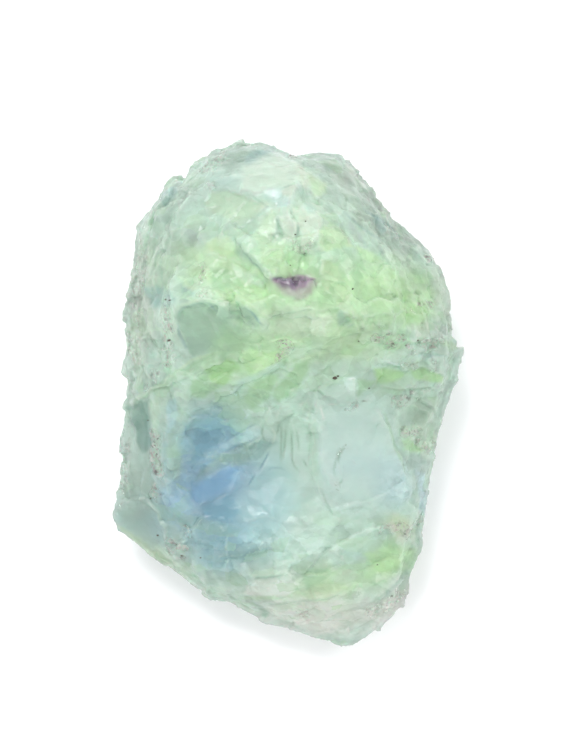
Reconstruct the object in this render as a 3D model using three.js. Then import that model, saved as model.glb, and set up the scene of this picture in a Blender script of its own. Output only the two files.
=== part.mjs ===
// A rough lump of fluorite, broken along its cleavage and lying on its flattest side.
// Millimetres. +Z is up, +Y points to the lump's domed end, and the origin is under the middle
// of the lump on the surface that it rests on.

import * as THREE from "three";
import { ConvexHull } from "three/addons/math/ConvexHull.js";

// Driving dimensions
const LENGTH = 60.8;
const WIDTH = 41.8;
const HEIGHT = 26;

// The size at which the corners below were surveyed. They stretch with the driving dimensions.
const SURVEY = { length: 60.8, width: 41.8, height: 26 };

// The middle of the lump, from which every corner can be seen
const HEART = new THREE.Vector3(0, 0, 4);

// How the underside narrows to the resting face. Each ring has a corner under every few of the
// rim's, at a share of their reach and height that wobbles from one to the next.
const FLANK = { spacing: 2, reach: 0.93, height: 0.5, wobble: 0.03, rise: 0.3 };
const FOOT = { spacing: 3, reach: 0.8, wobble: 0.03 };

// The fracture between the corners. In each round the edges that are longer than this break, and
// rise or sink by up to this share of their length.
const BREAK = { rounds: 2, longest: 1.6, relief: 0.055 };

// The stream of random numbers behind the wobbles and breaks
const STREAM = { seed: 13, multiplier: 16807, modulus: 2147483647 };

// Corners, as [x, y, z]. The rim is the widest line round the lump, clockwise from its tip.
const RIM = [
  [-5.4, 30.4, 9], [-2.9, 30, 10], [-1.2, 29.5, 10], [1.3, 28.3, 9.8], [4.7, 28.8, 10],
  [6.7, 28.6, 9], [7.9, 27, 9], [9.8, 25, 9], [10.3, 24.1, 8.8], [11.8, 23, 9],
  [12, 22.4, 8.8], [13.7, 20.5, 9], [14.6, 19.4, 9], [16.1, 18.5, 8.5], [17.5, 17.3, 8.5],
  [18.5, 15.4, 9], [19.2, 13.6, 9], [19.8, 11.2, 9], [19.7, 9.7, 9], [19, 8.3, 9.3],
  [20.9, 6.2, 10], [20, 4.4, 9.5], [20.9, 4.2, 9.5], [20.5, 1.8, 9], [19.9, -0.8, 8.5],
  [19, -2.6, 8.5], [18.6, -4.2, 8], [18, -5.3, 8.5], [18, -7.1, 8], [17.4, -9.2, 8],
  [17.5, -10.4, 7.5], [17, -13.4, 7.5], [16.4, -16.4, 7], [16.2, -19.4, 7], [15.4, -21, 7],
  [14.9, -21.7, 6.7], [15.1, -23.6, 6.5], [14.3, -25.8, 6.5], [13.1, -26.9, 6], [11.9, -27.8, 6],
  [10.1, -28.7, 6], [9.5, -29.6, 5.5], [7.9, -30.4, 5.5], [6.2, -30.1, 5.5], [4.3, -29.5, 6],
  [2.3, -28.8, 6], [-0.7, -28.4, 6], [-3, -27.8, 6], [-4.3, -26.5, 6.5], [-7, -25.4, 6.5],
  [-8.5, -25.2, 6], [-9.8, -24.1, 6.5], [-12.7, -22.1, 6.5], [-14.8, -20.4, 6.5], [-16.3, -19.4, 7],
  [-18.7, -17.8, 7], [-20.3, -16.7, 7], [-20.9, -15.5, 7.5], [-20.6, -13.4, 7.5], [-20.3, -12, 8],
  [-19.7, -11.4, 7.9], [-19.7, -6.8, 9], [-19.4, -3.8, 9], [-19.4, -1.8, 9.5], [-19, -0.2, 9.4],
  [-18.8, 1.6, 9.2], [-19.7, 2.4, 9.5], [-19.3, 4.6, 10], [-19.1, 5.8, 10], [-19.3, 7.6, 10],
  [-18.8, 9, 10], [-18.5, 11.2, 10.5], [-18.2, 14.2, 10.5], [-18, 17.8, 9.8], [-18.4, 18.6, 10],
  [-18.1, 20, 10], [-16.6, 21.1, 9.7], [-16.1, 22.1, 10], [-15.1, 22.2, 9.6], [-14.8, 24, 10],
  [-13.7, 25.7, 10], [-10.9, 25.7, 9.5], [-10.7, 27.4, 10], [-10, 28.2, 10], [-7.7, 29.3, 9.5],
  [-6.5, 30, 9],
];

// The pale slab at the domed end, down to the curved lip where it breaks off
const SLAB = [
  [-8.9, 28.2, 13], [-5.5, 29.2, 13], [-2.2, 28.8, 14], [0.8, 27.6, 15.5], [-4.7, 27.6, 15.5],
  [-7, 25.3, 18], [-10.3, 23.8, 17], [-2.5, 25.6, 19.5], [1.7, 25.8, 19.5], [-4.3, 23.2, 21],
];
const ROSETTE = [
  [-1.9, 21.7, 22.5], [-0.7, 24.4, 21.5], [1.2, 24.7, 22], [2.3, 23.2, 21.2], [3.8, 21.7, 21.5],
  [4.7, 20.2, 22], [3.2, 17.8, 23.5], [2, 17.2, 23.2], [-0.1, 18, 23.8], [-0.4, 20.5, 23.2],
  [1.4, 19.8, 24],
];
const LIP = [
  [-6.7, 18.7, 22.5], [-4.9, 16.6, 24], [-3.4, 15, 25], [-1.7, 13.4, 25.6], [0.5, 13.6, 25.6],
  [2.6, 13.4, 25.2],
];
const LIP_FOOT = [
  [-5.5, 16, 22.9], [-4.1, 14.5, 23.8], [-2.4, 12.8, 24.4], [0.5, 12.7, 23.2], [2.4, 12.6, 23.8],
];
const LIME_SLOPE = [
  [-8.5, 17.2, 21.5], [-10.9, 14.8, 21], [-8.9, 13, 23.6], [-5.8, 11.5, 25], [-1.9, 10.8, 25.4],
  [4.1, 12.4, 24.6], [5.3, 15.7, 23.6],
];

// The crest across the middle, and the foot of the steep face below it
const CREST = [
  [-13, 10.2, 22.6], [-10.3, 10.9, 24.6], [-7.7, 10, 25.6], [-4.6, 10.2, 26], [-2.6, 8, 25.2],
  [1.7, 9.2, 25.6], [4.7, 8.5, 24.8], [7.1, 9.4, 24.4], [9.1, 8.3, 23.4], [12.5, 8.5, 21],
  [16.1, 8.8, 17],
];
const CREST_FOOT = [
  [-12.7, 6.8, 20.4], [-10.6, 4.2, 19.6], [-7.7, 5.2, 21.4], [-4.9, 6.4, 22.6], [-1.3, 5.8, 22.2],
  [2.3, 4.9, 20.6], [7.1, 4.9, 19.8], [10.7, 5.8, 19.4],
];
const LEDGES = [
  [[12.7, 7.3, 19.8], [15.1, 7.6, 17.6], [18.5, 7.2, 14]],
  [[13.7, 5.2, 18], [17.3, 5.5, 14.6], [19.3, 5.4, 12.5]],
  [[10.7, 3.7, 18], [14.6, 3.2, 16.6], [18.5, 3.7, 13.6]],
  [[11, 1.8, 17.2], [14.3, 1.8, 15.6], [18.5, 1.8, 12.4]],
];

// The knobbly right shoulder of the domed end
const SHOULDER = [
  [4.1, 27.4, 14], [6.5, 27, 13], [3.1, 25.6, 17.5], [5.9, 23.8, 17.5], [8.3, 24.4, 14],
  [7.1, 21.4, 19.2], [10.1, 22, 15], [11.9, 19.8, 14.4], [7.9, 17.4, 21], [10.7, 17.2, 18],
  [14.3, 17.8, 12.8], [13.1, 14.8, 17], [16.7, 14.8, 12.6], [16.1, 11.2, 15], [18.5, 11.8, 11.6],
  [10.7, 12.4, 20.6], [7.1, 13, 23],
];

// The crumbling left edge, and the pale stripe that climbs from it to the crest
const LEFT_EDGE = [
  [-16.3, 19, 14], [-15.4, 20.8, 14.4], [-13, 24.4, 13.5], [-12.7, 21.4, 17], [-16.3, 14.8, 14.5],
  [-13.7, 16.6, 18], [-16.6, 11.2, 14.5], [-15.1, 8.8, 17], [-16.9, 7, 14], [-14.2, 5.8, 18],
  [-17.3, 4, 13.2], [-14.5, 3.4, 16.2], [-17.5, 1.8, 12.5],
];
const STRIPE = [
  [-17.5, -1.1, 12.6], [-15.1, 0.6, 15.6], [-12.7, 2.5, 17.8], [-10.3, 3.6, 19.4], [-7, 4.8, 21],
];

// The hollow below the crest: its left wall, its upper facets and its floor
const LEFT_WALL = [
  [-16.9, -3.2, 12.8], [-14.8, -1.4, 15.4], [-14.2, -4.4, 15.2], [-15.6, -5.6, 13.8], [-17.5, -8, 11.6],
  [-15.1, -10.4, 13], [-13.8, -8, 14.6], [-13, -11.6, 13.4], [-14.5, -13.4, 12.4], [-17.5, -14, 10.4],
  [-11.8, -14.6, 12.8], [-10.6, -17.6, 12.4], [-13.3, -17.6, 11.2], [-16.3, -17, 9.4], [-10.9, -21, 10.6],
  [-8.5, -23.6, 9],
];
const HOLLOW_TOP = [
  [-11.5, 1, 17.4], [-12.2, -2, 15.8], [-10.3, -2.3, 15.2], [-7.3, -0.2, 17], [-4.3, 1.8, 18.6],
  [-0.1, 3.7, 20], [-9.1, 2.2, 18.8], [-5.5, 3.4, 19.8],
];
const HOLLOW = [
  [-11.2, -5.6, 14.2], [-10.6, -8, 13.4], [-9.7, -5, 13.9], [-5.5, -3.2, 15.2], [-2.5, -4.4, 15.6],
  [-1.7, -1.8, 17.2], [-7.3, -7.8, 13.4], [-9.8, -9.6, 12.6], [-8.8, -12.8, 12.2], [-4.9, -11.6, 12.8],
  [-6.1, -14.6, 13], [-1.9, -10.4, 13.8], [1.7, -9.2, 14.6], [3.1, -5.6, 15.8], [3.1, -0.8, 18],
  [4.1, 2.2, 18.8], [0.5, -0.8, 17.6], [-0.7, -15.2, 13.4], [-7.9, -17.6, 12.6],
];

// The smooth face to the right of the hollow, with a square cleavage step, and its rough margin
const SMOOTH_FACE = [
  [7.1, 1.6, 18.4], [8.3, 1.6, 18.2], [8.3, -0.8, 17.4], [10.7, -0.2, 16.6], [7.1, -4.4, 16.4],
  [11.3, -2, 15.8], [12.5, -5.6, 14.6], [6.5, -8.6, 15], [13.7, -9.2, 13.4], [10.7, -9.8, 14.6],
  [4.7, -11.6, 14.2], [6.5, -14.6, 14.2], [13.7, -12.8, 12.8], [10.7, -15.8, 13], [14.3, -16.4, 11],
];
const RIGHT_MARGIN = [
  [15.5, -0.8, 13.2], [14.9, -3.8, 12.8], [16.7, -5.6, 10.8], [16.1, -9.2, 10.6],
];

// The toe of the lump, in steps
const TOE = [
  [[1.7, -18.8, 13.2], [7.7, -18.8, 13], [11.9, -19.4, 11.2]],
  [[-7.3, -21, 11.6], [-4.3, -21.5, 12.4], [1.7, -21.6, 12.8]],
  [[-3.7, -24.2, 10.6], [1.7, -24.5, 10.8], [7.1, -24.6, 10.4], [12.5, -23.6, 9]],
  [[-0.1, -26.6, 8.4], [5.3, -27.5, 8], [10.7, -26, 8.2]],
];

// A repeatable stream of numbers from 0 to 1.
function randomStream() {
  let state = STREAM.seed;
  return () => {
    state = (state * STREAM.multiplier) % STREAM.modulus;
    return state / STREAM.modulus;
  };
}

// A surveyed corner at the lump's own size.
function corner([x, y, z]) {
  return new THREE.Vector3(
    (x * WIDTH) / SURVEY.width,
    (y * LENGTH) / SURVEY.length,
    (z * HEIGHT) / SURVEY.height,
  );
}

// The rings of corners below the rim, the lower of them in the resting face.
function underside(random) {
  const around = (wobble) => 1 + wobble * (2 * random() - 1);
  const under = (spacing) => RIM.filter((_, i) => i % spacing === 0);
  const flank = under(FLANK.spacing).map(([x, y, z]) => {
    const reach = FLANK.reach * around(FLANK.wobble);
    return [x * reach, y * reach, z * FLANK.height * around(FLANK.rise)];
  });
  const foot = under(FOOT.spacing).map(([x, y]) => {
    const reach = FOOT.reach * around(FOOT.wobble);
    return [x * reach, y * reach, 0];
  });
  return [...flank, ...foot];
}

// The closed surface through all the corners. Seen from the heart, and rounded to a ball, the
// corners lie on a sphere, and the hull of that sphere says which of them are neighbours.
function skin(corners) {
  const ball = new THREE.Vector3(WIDTH, LENGTH, HEIGHT);
  const directions = corners.map((p) => p.clone().sub(HEART).divide(ball).normalize());
  const indexOf = new Map(directions.map((d, i) => [d, i]));
  const triangles = new ConvexHull().setFromPoints(directions).faces.flatMap((face) =>
    [0, 1, 2].map((k) => indexOf.get(face.getEdge(k).head().point)),
  );
  const geometry = new THREE.BufferGeometry().setFromPoints(corners);
  geometry.setIndex(triangles);
  geometry.computeVertexNormals();
  return geometry;
}

// New corners where the long edges of the top break. The underside keeps its broad flat faces.
function breaks(top, under, random) {
  const corners = [...top, ...under];
  const { index, attributes } = skin(corners);
  const normalAt = (i) => new THREE.Vector3().fromBufferAttribute(attributes.normal, i);
  const added = [];
  for (let i = 0; i < index.count; i += 1) {
    const a = index.getX(i);
    const b = index.getX(i % 3 === 2 ? i - 2 : i + 1);
    const length = corners[a].distanceTo(corners[b]);
    if (a > b || b >= top.length || length < BREAK.longest) continue;
    const shift = BREAK.relief * length * (2 * random() - 1);
    const normal = normalAt(a).add(normalAt(b)).normalize();
    added.push(corners[a].clone().lerp(corners[b], 0.5).addScaledVector(normal, shift));
  }
  return added;
}

// The whole lump, set over the origin.
function fluorite() {
  const random = randomStream();
  const top = [
    RIM, SLAB, ROSETTE, LIP, LIP_FOOT, LIME_SLOPE, CREST, CREST_FOOT, ...LEDGES, SHOULDER,
    LEFT_EDGE, STRIPE, LEFT_WALL, HOLLOW_TOP, HOLLOW, SMOOTH_FACE, RIGHT_MARGIN, ...TOE,
  ].flat().map(corner);
  const under = underside(random).map(corner);
  for (let round = 0; round < BREAK.rounds; round += 1) top.push(...breaks(top, under, random));
  const geometry = skin([...top, ...under]);
  geometry.computeBoundingBox();
  const middle = geometry.boundingBox.getCenter(new THREE.Vector3());
  geometry.translate(-middle.x, -middle.y, 0);
  const mint = new THREE.MeshStandardMaterial({ color: "#b9dcc4", roughness: 0.3, metalness: 0 });
  mint.flatShading = true;
  const mesh = new THREE.Mesh(geometry, mint);
  mesh.name = "fluorite";
  return mesh;
}

const lump = new THREE.Group();
lump.add(fluorite());

export default lump;
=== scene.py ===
"""A fluorite specimen seen from above: one broken lump of milky green spar with a blue heart."""

import logging
import math
from dataclasses import dataclass, field
from enum import Enum
from typing import Any, Sequence

import bmesh
import bpy
import numpy as np
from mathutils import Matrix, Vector


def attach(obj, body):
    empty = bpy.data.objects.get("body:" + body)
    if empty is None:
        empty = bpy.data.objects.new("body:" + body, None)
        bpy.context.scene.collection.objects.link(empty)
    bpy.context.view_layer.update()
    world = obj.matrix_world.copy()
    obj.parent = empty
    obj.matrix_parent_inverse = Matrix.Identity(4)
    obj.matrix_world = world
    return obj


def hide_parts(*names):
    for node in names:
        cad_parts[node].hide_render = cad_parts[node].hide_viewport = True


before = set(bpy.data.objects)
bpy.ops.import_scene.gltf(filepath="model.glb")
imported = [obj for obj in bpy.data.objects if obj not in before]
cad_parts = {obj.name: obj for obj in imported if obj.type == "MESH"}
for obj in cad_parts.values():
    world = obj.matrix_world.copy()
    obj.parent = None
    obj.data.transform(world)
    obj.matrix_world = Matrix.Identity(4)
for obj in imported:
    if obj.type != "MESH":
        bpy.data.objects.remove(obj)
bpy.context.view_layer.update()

LOG = logging.getLogger("fluorite")
MM = 0.001

Place = tuple[float, float]
Path = tuple[Place, ...]
Swell = tuple[float, float, int]
Socket = bpy.types.NodeSocket
Tree = bpy.types.NodeTree

# Odd factors and shifts that scatter whole numbers evenly.
SCATTER_AXES = (0x9E3779B97F4A7C15, 0xC2B2AE3D27D4EB4F, 0x165667B19E3779F9)
SCATTER_ROUNDS = ((30, 0xBF58476D1CE4E5B9), (27, 0x94D049BB133111EB))
SCATTER_LAST = 31
SCATTER_SEED = 7919
DICE_BITS = 10
DICE_TOP = 1023

# How a break drifts, leans and bowls, as shares of its size.
DRIFT_SEEDS = (71, 73, 79)
DRIFT_SIZE = 0.45
DRIFT_SHARE = 0.16
SHELL_BOWL = 0.22
SHELL_LEAN = 1.2
SHELL_BASE = 0.45
FLAKE_LEAN = 1.5
FLAKE_STEP = 0.5
CHIP_STRETCH = 0.6

# Where a cloud starts to thin and where it ends, as shares of its radii.
CLOUD_CORE = 0.3
CLOUD_EDGE = 1.25

# How a face is drawn flat: its edge and the furthest pull in millimetres, and how far up it has to face.
FACE_EDGE = 0.18
FACE_PULL = 0.5
FACE_LEAN = (0.3, 0.75)
FACE_LEAST = 0.01
FACE_CORE = 0.6
FACE_FEWEST = 12

# How ledges, seams and lines run out, in millimetres or as shares of their widths.
LEDGE_REACH = 4.0
LEDGE_END = 1.3
LEDGE_STEP = 0.14
SEAM_CORE = 0.6
SEAM_EDGE = 1.6
LINE_CORE = 0.2
LINE_START = -0.1
LINE_TAPER = 0.6
LINE_TAPER_SHARE = 0.35


class Tint(Enum):
    """The colours that the stone shows, as sRGB hex; some also serve as painted highlight and painted shade.
    """

    WHITE_MINT = "#D8EFD8"
    PALE_MINT = "#C4E4D3"
    MINT = "#B7DAC7"
    GREY_GREEN = "#A4C3B2"
    PALE_GREY = "#C8DBCC"
    SAGE = "#92B8A2"
    LEAF = "#96C696"
    LEAF_PALE = "#BDE0BD"
    LIME_PALE = "#BFE2B2"
    LIME = "#B1E0A2"
    LIME_DEEP = "#A0DA88"
    TEAL = "#88B1AB"
    CYAN = "#A8D6D6"
    CYAN_PALE = "#B5DCD0"
    SKY = "#B5DADF"
    HAZE = "#A9B7BB"
    GREEN_DARK = "#729C8B"
    BLUE_PALE = "#86B2C8"
    BLUE = "#78AED0"
    DEEP_BLUE = "#72A8B8"
    CREAM = "#D3E0C0"
    CHALK = "#EAF8E8"
    MILK_BLUE = "#CAEADF"
    ROUGH_GREY = "#A7B6A8"
    MAUVE = "#A8A0A2"
    PURPLE = "#86658A"
    PURPLE_DARK = "#5E3F66"
    SUGAR_WHITE = "#EDF2EA"
    SUGAR_PINK = "#B09C9C"
    SUGAR_GREY = "#5C5450"
    DARK_GRAIN = "#4A4038"
    # Colours of the dark lines, partly painted shade in their grooves.
    LINE_GREEN = "#8DB19A"
    LINE_BLUE = "#7099A6"
    FLOOR = "#F4F4F6"

    @property
    def light(self) -> np.ndarray:
        """The colour as linear light."""
        return linear(self.value)

    @property
    def paint(self) -> tuple[float, float, float, float]:
        """The colour as a shader takes it."""
        return (*self.light, 1.0)


class Fracture(Enum):
    """How the stone breaks."""

    SHELL = "hollows that meet in sharp ridges"
    FLAKE = "leaning flakes with a step at each edge"


def linear(hex_code: str) -> np.ndarray:
    """Turns an sRGB hex colour to linear.

    Args:
        hex_code: The colour as "#RRGGBB".

    Returns:
        Red, green and blue from 0 to 1.
    """
    shown = np.array([int(hex_code[i : i + 2], 16) / 255 for i in (1, 3, 5)])
    return np.where(shown <= 0.04045, shown / 12.92, ((shown + 0.055) / 1.055) ** 2.4)


def ramp(low: float, high: float, values: np.ndarray) -> np.ndarray:
    """Eases values from 0 at low to 1 at high.

    Args:
        low: Where the ramp starts.
        high: Where the ramp ends.
        values: The numbers to ease.

    Returns:
        The eased numbers, from 0 to 1.
    """
    share = np.clip((values - low) / (high - low), 0.0, 1.0)
    return share * share * (3.0 - 2.0 * share)


def scramble(cells: np.ndarray, seed: int, count: int) -> np.ndarray:
    """Gives each whole-numbered cell its own fixed random numbers.

    Args:
        cells: Cell numbers, three to a row.
        seed: Picks one of many unlike sets.
        count: How many numbers each cell needs, at most six.

    Returns:
        Numbers from 0 to 1, a row for each cell.
    """
    keys = cells.astype(np.int64).astype(np.uint64)
    mixed_up = np.zeros(len(keys), dtype=np.uint64)
    for axis, factor in enumerate(SCATTER_AXES):
        mixed_up ^= keys[:, axis] * np.uint64(factor)
    mixed_up += np.uint64(seed * SCATTER_SEED + 1)
    for shift, factor in SCATTER_ROUNDS:
        mixed_up = (mixed_up ^ mixed_up >> np.uint64(shift)) * np.uint64(factor)
    mixed_up ^= mixed_up >> np.uint64(SCATTER_LAST)
    parts = [(mixed_up >> np.uint64(DICE_BITS * i)) & np.uint64(DICE_TOP) for i in range(count)]
    return np.stack(parts, axis=1) / float(DICE_TOP)


def wander(points: np.ndarray, size: float, seed: int) -> np.ndarray:
    """Smooth random drift over space.

    Args:
        points: Places in millimetres.
        size: How far apart the swells are, in millimetres.
        seed: Picks one of many unlike drifts.

    Returns:
        A number from -1 to 1 for each place.
    """
    scaled_points = points / size
    base = np.floor(scaled_points)
    part = scaled_points - base
    part = part * part * (3.0 - 2.0 * part)
    sides = (1.0 - part, part)
    total = np.zeros(len(points))
    for corner in np.ndindex(2, 2, 2):
        share = sides[corner[0]][:, 0] * sides[corner[1]][:, 1] * sides[corner[2]][:, 2]
        total += share * scramble(base + np.array(corner), seed, 1)[:, 0]
    return total * 2.0 - 1.0


def breaks(points: np.ndarray, size: float, seed: int, kind: Fracture) -> tuple[np.ndarray, np.ndarray]:
    """Breaks space into leaning shells or flakes.

    Args:
        points: Places in millimetres.
        size: How far apart the breaks are, in millimetres.
        seed: Picks one of many unlike sets.
        kind: How the stone breaks.

    Returns:
        The height at each place, about -0.5 to 0.5, and a random number for its break.
    """
    drift = [wander(points, DRIFT_SIZE * size, seed + i) for i in DRIFT_SEEDS]
    warped = points / size + DRIFT_SHARE * np.stack(drift, axis=1)
    base = np.floor(warped)
    nearest = np.full(len(points), np.inf)
    height = np.zeros(len(points))
    shade = np.zeros(len(points))
    for step in np.ndindex(3, 3, 3):
        cell = base + np.array(step) - 1.0
        dice = scramble(cell, seed, 6)
        gap = warped - cell - dice[:, :3]
        far = (gap * gap).sum(axis=1)
        lean = (gap * (dice[:, 3:] - 0.5)).sum(axis=1)
        if kind is Fracture.SHELL:
            level = SHELL_BOWL * far + SHELL_LEAN * lean + SHELL_BASE
            rank = level
        else:
            level = FLAKE_LEAN * lean + FLAKE_STEP * (dice[:, 3] - 0.5)
            rank = far
        nearer = rank < nearest
        nearest = np.where(nearer, rank, nearest)
        height = np.where(nearer, level, height)
        shade = np.where(nearer, dice[:, 5], shade)
    return height, shade


def drifted(points: np.ndarray, seeds: Sequence[int], swells: Sequence[Swell]) -> np.ndarray:
    """Shifts places at random, so that what is drawn with straight edges gets uneven ones.

    Args:
        points: Places in millimetres.
        seeds: Picks a drift for each way.
        swells: The size and the reach of each swell in millimetres, and its step from the seed.

    Returns:
        The shifted places seen from above.
    """
    shift = [sum(wander(points, size, seed + step) * reach for size, reach, step in swells) for seed in seeds]
    return points[:, :2] + np.stack(shift, axis=1)


def along(places: np.ndarray, path: Sequence[Place]) -> tuple[np.ndarray, np.ndarray, float]:
    """Measures places against a bent line.

    Args:
        places: Places seen from above, in millimetres.
        path: The line's corners.

    Returns:
        The distance from the line, above zero on its left, the run along it, and its length.
    """
    best = np.full(len(places), np.inf)
    side = np.zeros(len(places))
    run = np.zeros(len(places))
    done = 0.0
    for start, end in zip(path, path[1:]):
        head = np.array(start)
        way = np.array(end) - head
        length = float(np.hypot(*way))
        share = np.clip(((places - head) @ way) / length**2, 0.0, 1.0)
        gap = places - head - share[:, None] * way
        far = np.hypot(gap[:, 0], gap[:, 1])
        nearer = far < best
        best = np.where(nearer, far, best)
        turn = way[0] * gap[:, 1] - way[1] * gap[:, 0]
        side = np.where(nearer, np.where(turn < 0.0, -far, far), side)
        run = np.where(nearer, done + share * length, run)
        done += length
    return side, run, done


def inside(places: np.ndarray, corners: Sequence[Place]) -> np.ndarray:
    """Measures places against an outline.

    Args:
        places: Places seen from above, in millimetres.
        corners: The outline's corners.

    Returns:
        The distance to the outline, above zero inside it.
    """
    loop = [*corners, corners[0]]
    far = np.abs(along(places, loop)[0])
    within = np.zeros(len(places), dtype=bool)
    for (x0, y0), (x1, y1) in zip(loop, loop[1:]):
        if y0 == y1:
            continue
        spans = (y0 > places[:, 1]) != (y1 > places[:, 1])
        crossing = x0 + (places[:, 1] - y0) * (x1 - x0) / (y1 - y0)
        within ^= spans & (places[:, 0] < crossing)
    return np.where(within, far, -far)


def nearby(places: np.ndarray, corners: Sequence[Place], reach: float) -> np.ndarray:
    """Picks the places in a box round some corners.

    Args:
        places: Places seen from above, in millimetres.
        corners: What the box goes round.
        reach: How far the box goes beyond them, in millimetres.

    Returns:
        The rows of the places in the box.
    """
    spots = np.array(corners)
    low = spots.min(axis=0) - reach
    high = spots.max(axis=0) + reach
    return np.flatnonzero(((places >= low) & (places <= high)).all(axis=1))


def turned(places: np.ndarray, degrees: float) -> tuple[np.ndarray, np.ndarray]:
    """Measures places on turned axes.

    Args:
        places: Places in millimetres.
        degrees: How far the axes are turned.

    Returns:
        The places along and across.
    """
    angle = math.radians(degrees)
    wide = places[:, 0] * math.cos(angle) + places[:, 1] * math.sin(angle)
    tall = places[:, 1] * math.cos(angle) - places[:, 0] * math.sin(angle)
    return wide, tall


def cloud(places: np.ndarray, centre: Place, radii: Place, turn: float) -> np.ndarray:
    """Spreads a soft-edged oval.

    Args:
        places: Places seen from above, in millimetres.
        centre: The oval's middle.
        radii: The oval's half width and half height.
        turn: How far it is turned, in degrees.

    Returns:
        From 0 outside to 1 at its middle.
    """
    wide, tall = turned(places - np.array(centre), turn)
    return 1.0 - ramp(CLOUD_CORE, CLOUD_EDGE, np.hypot(wide / radii[0], tall / radii[1]))


def add_node(tree: Tree, kind: str, settings: dict[str, Any], links: dict[Any, Any]) -> bpy.types.Node:
    """Adds a node with its settings and links.

    Args:
        tree: The material's or world's nodes.
        kind: Blender's name for the node.
        settings: The node's own options.
        links: What goes into each input: a value, or an output to link.

    Returns:
        The new node.
    """
    node = tree.nodes.new(kind)
    for name, value in settings.items():
        setattr(node, name, value)
    for name, value in links.items():
        if isinstance(value, Socket):
            tree.links.new(value, node.inputs[name])
        else:
            node.inputs[name].default_value = value
    return node


def fresh(name: str) -> bpy.types.Material:
    """Makes a material with no nodes yet, under its name."""
    made = bpy.data.materials.new(name)
    made.use_nodes = True
    made.node_tree.nodes.clear()
    return made


def noise(tree: Tree, place: Socket, size_mm: float, **more: float) -> Any:
    """Lays a soft random pattern of a size in millimetres, and gives its outputs."""
    links = {"Vector": place, "Scale": 1.0 / (size_mm * MM), **more}
    return add_node(tree, "ShaderNodeTexNoise", {}, links).outputs


def stretch(tree: Tree, value: Socket, given: Place, wanted: Place) -> Socket:
    """Stretches a number from the range that is given to the one that is wanted."""
    links = dict(zip(("From Min", "From Max", "To Min", "To Max"), (*given, *wanted)))
    return add_node(tree, "ShaderNodeMapRange", {}, {"Value": value, **links}).outputs["Result"]


def reckon(tree: Tree, operation: str, *values: Any) -> Socket:
    """Does a sum with numbers."""
    return add_node(tree, "ShaderNodeMath", {"operation": operation}, dict(enumerate(values))).outputs[0]


def combine(tree: Tree, operation: str, first: Any, second: Any) -> Any:
    """Does a sum with two places or colours, and gives the outputs."""
    return add_node(tree, "ShaderNodeVectorMath", {"operation": operation}, {0: first, 1: second}).outputs


def scale(tree: Tree, colour: Socket, share: Any) -> Socket:
    """Makes a colour lighter or darker."""
    links = {0: colour, "Scale": share}
    return add_node(tree, "ShaderNodeVectorMath", {"operation": "SCALE"}, links).outputs[0]


def blend(tree: Tree, share: Socket, first: Any, second: Any) -> Socket:
    """Goes from the first colour to the second."""
    links = {0: share, 6: first, 7: second}
    return add_node(tree, "ShaderNodeMix", {"data_type": "RGBA"}, links).outputs[2]


@dataclass
class Skin:
    """The lump's surface as numbers, in millimetres."""

    mesh: bpy.types.Mesh
    points: np.ndarray = field(init=False)
    normals: np.ndarray = field(init=False)
    links: np.ndarray = field(init=False)
    flank: float = 0.35
    sharp_mm: float = 0.03

    def __post_init__(self) -> None:
        """Reads the mesh."""
        self.links = np.empty(len(self.mesh.edges) * 2, dtype=np.int32)
        self.mesh.edges.foreach_get("vertices", self.links)
        self.links = self.links.reshape(-1, 2)
        self.read()

    @property
    def places(self) -> np.ndarray:
        """The points seen from above."""
        return self.points[:, :2]

    @property
    def upward(self) -> np.ndarray:
        """How far each point faces up, from 0 on the flanks and below to 1 on top."""
        return ramp(0.0, self.flank, self.normals[:, 2])

    def read(self) -> None:
        """Takes the points and normals from the mesh."""
        count = len(self.mesh.vertices)
        flat = np.empty(count * 3)
        self.mesh.vertices.foreach_get("co", flat)
        self.points = flat.reshape(-1, 3) / MM
        facing = np.empty(count * 3)
        self.mesh.vertices.foreach_get("normal", facing)
        self.normals = facing.reshape(-1, 3)

    def write(self) -> None:
        """Puts the points back and takes fresh normals."""
        self.mesh.vertices.foreach_set("co", (self.points * MM).ravel())
        self.mesh.update()
        self.read()

    def around(self, values: np.ndarray) -> np.ndarray:
        """Averages values over each point's neighbours.

        Args:
            values: One number for each point.

        Returns:
            The mean of the neighbours' numbers.
        """
        a, b = self.links[:, 0], self.links[:, 1]
        count = len(self.points)
        total = np.bincount(a, values[b], count) + np.bincount(b, values[a], count)
        return total / np.maximum(np.bincount(a, minlength=count) + np.bincount(b, minlength=count), 1)

    def middles(self) -> np.ndarray:
        """The middle of each point's neighbours."""
        return np.stack([self.around(self.points[:, i]) for i in range(3)], axis=1)

    def smooth(self, rounds: int, share: float) -> None:
        """Relaxes the surface.

        Args:
            rounds: How many times.
            share: How far each point goes towards its neighbours' middle.
        """
        for _ in range(rounds):
            self.points += (self.middles() - self.points) * share
        self.write()

    def push(self, amount: np.ndarray) -> None:
        """Moves the surface out along its normals by amounts in millimetres."""
        self.points += self.normals * amount[:, None]

    def ridges(self) -> np.ndarray:
        """Finds the edges and creases: about 1 on a sharp edge, 0 on a flat face and -1 in a crease."""
        bend = ((self.points - self.middles()) * self.normals).sum(axis=1)
        return np.clip(self.around(bend) / self.sharp_mm, -1.0, 1.0)

    def keep(self, name: str, values: np.ndarray) -> None:
        """Stores values on the mesh for the material.

        Args:
            name: What the material calls them.
            values: One number, or a linear colour, for each point.
        """
        if values.ndim == 1:
            self.mesh.attributes.new(name, "FLOAT", "POINT").data.foreach_set("value", values)
            return
        full = np.concatenate([values, np.ones((len(values), 1))], axis=1)
        self.mesh.attributes.new(name, "FLOAT_COLOR", "POINT").data.foreach_set("color", full.ravel())


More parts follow.
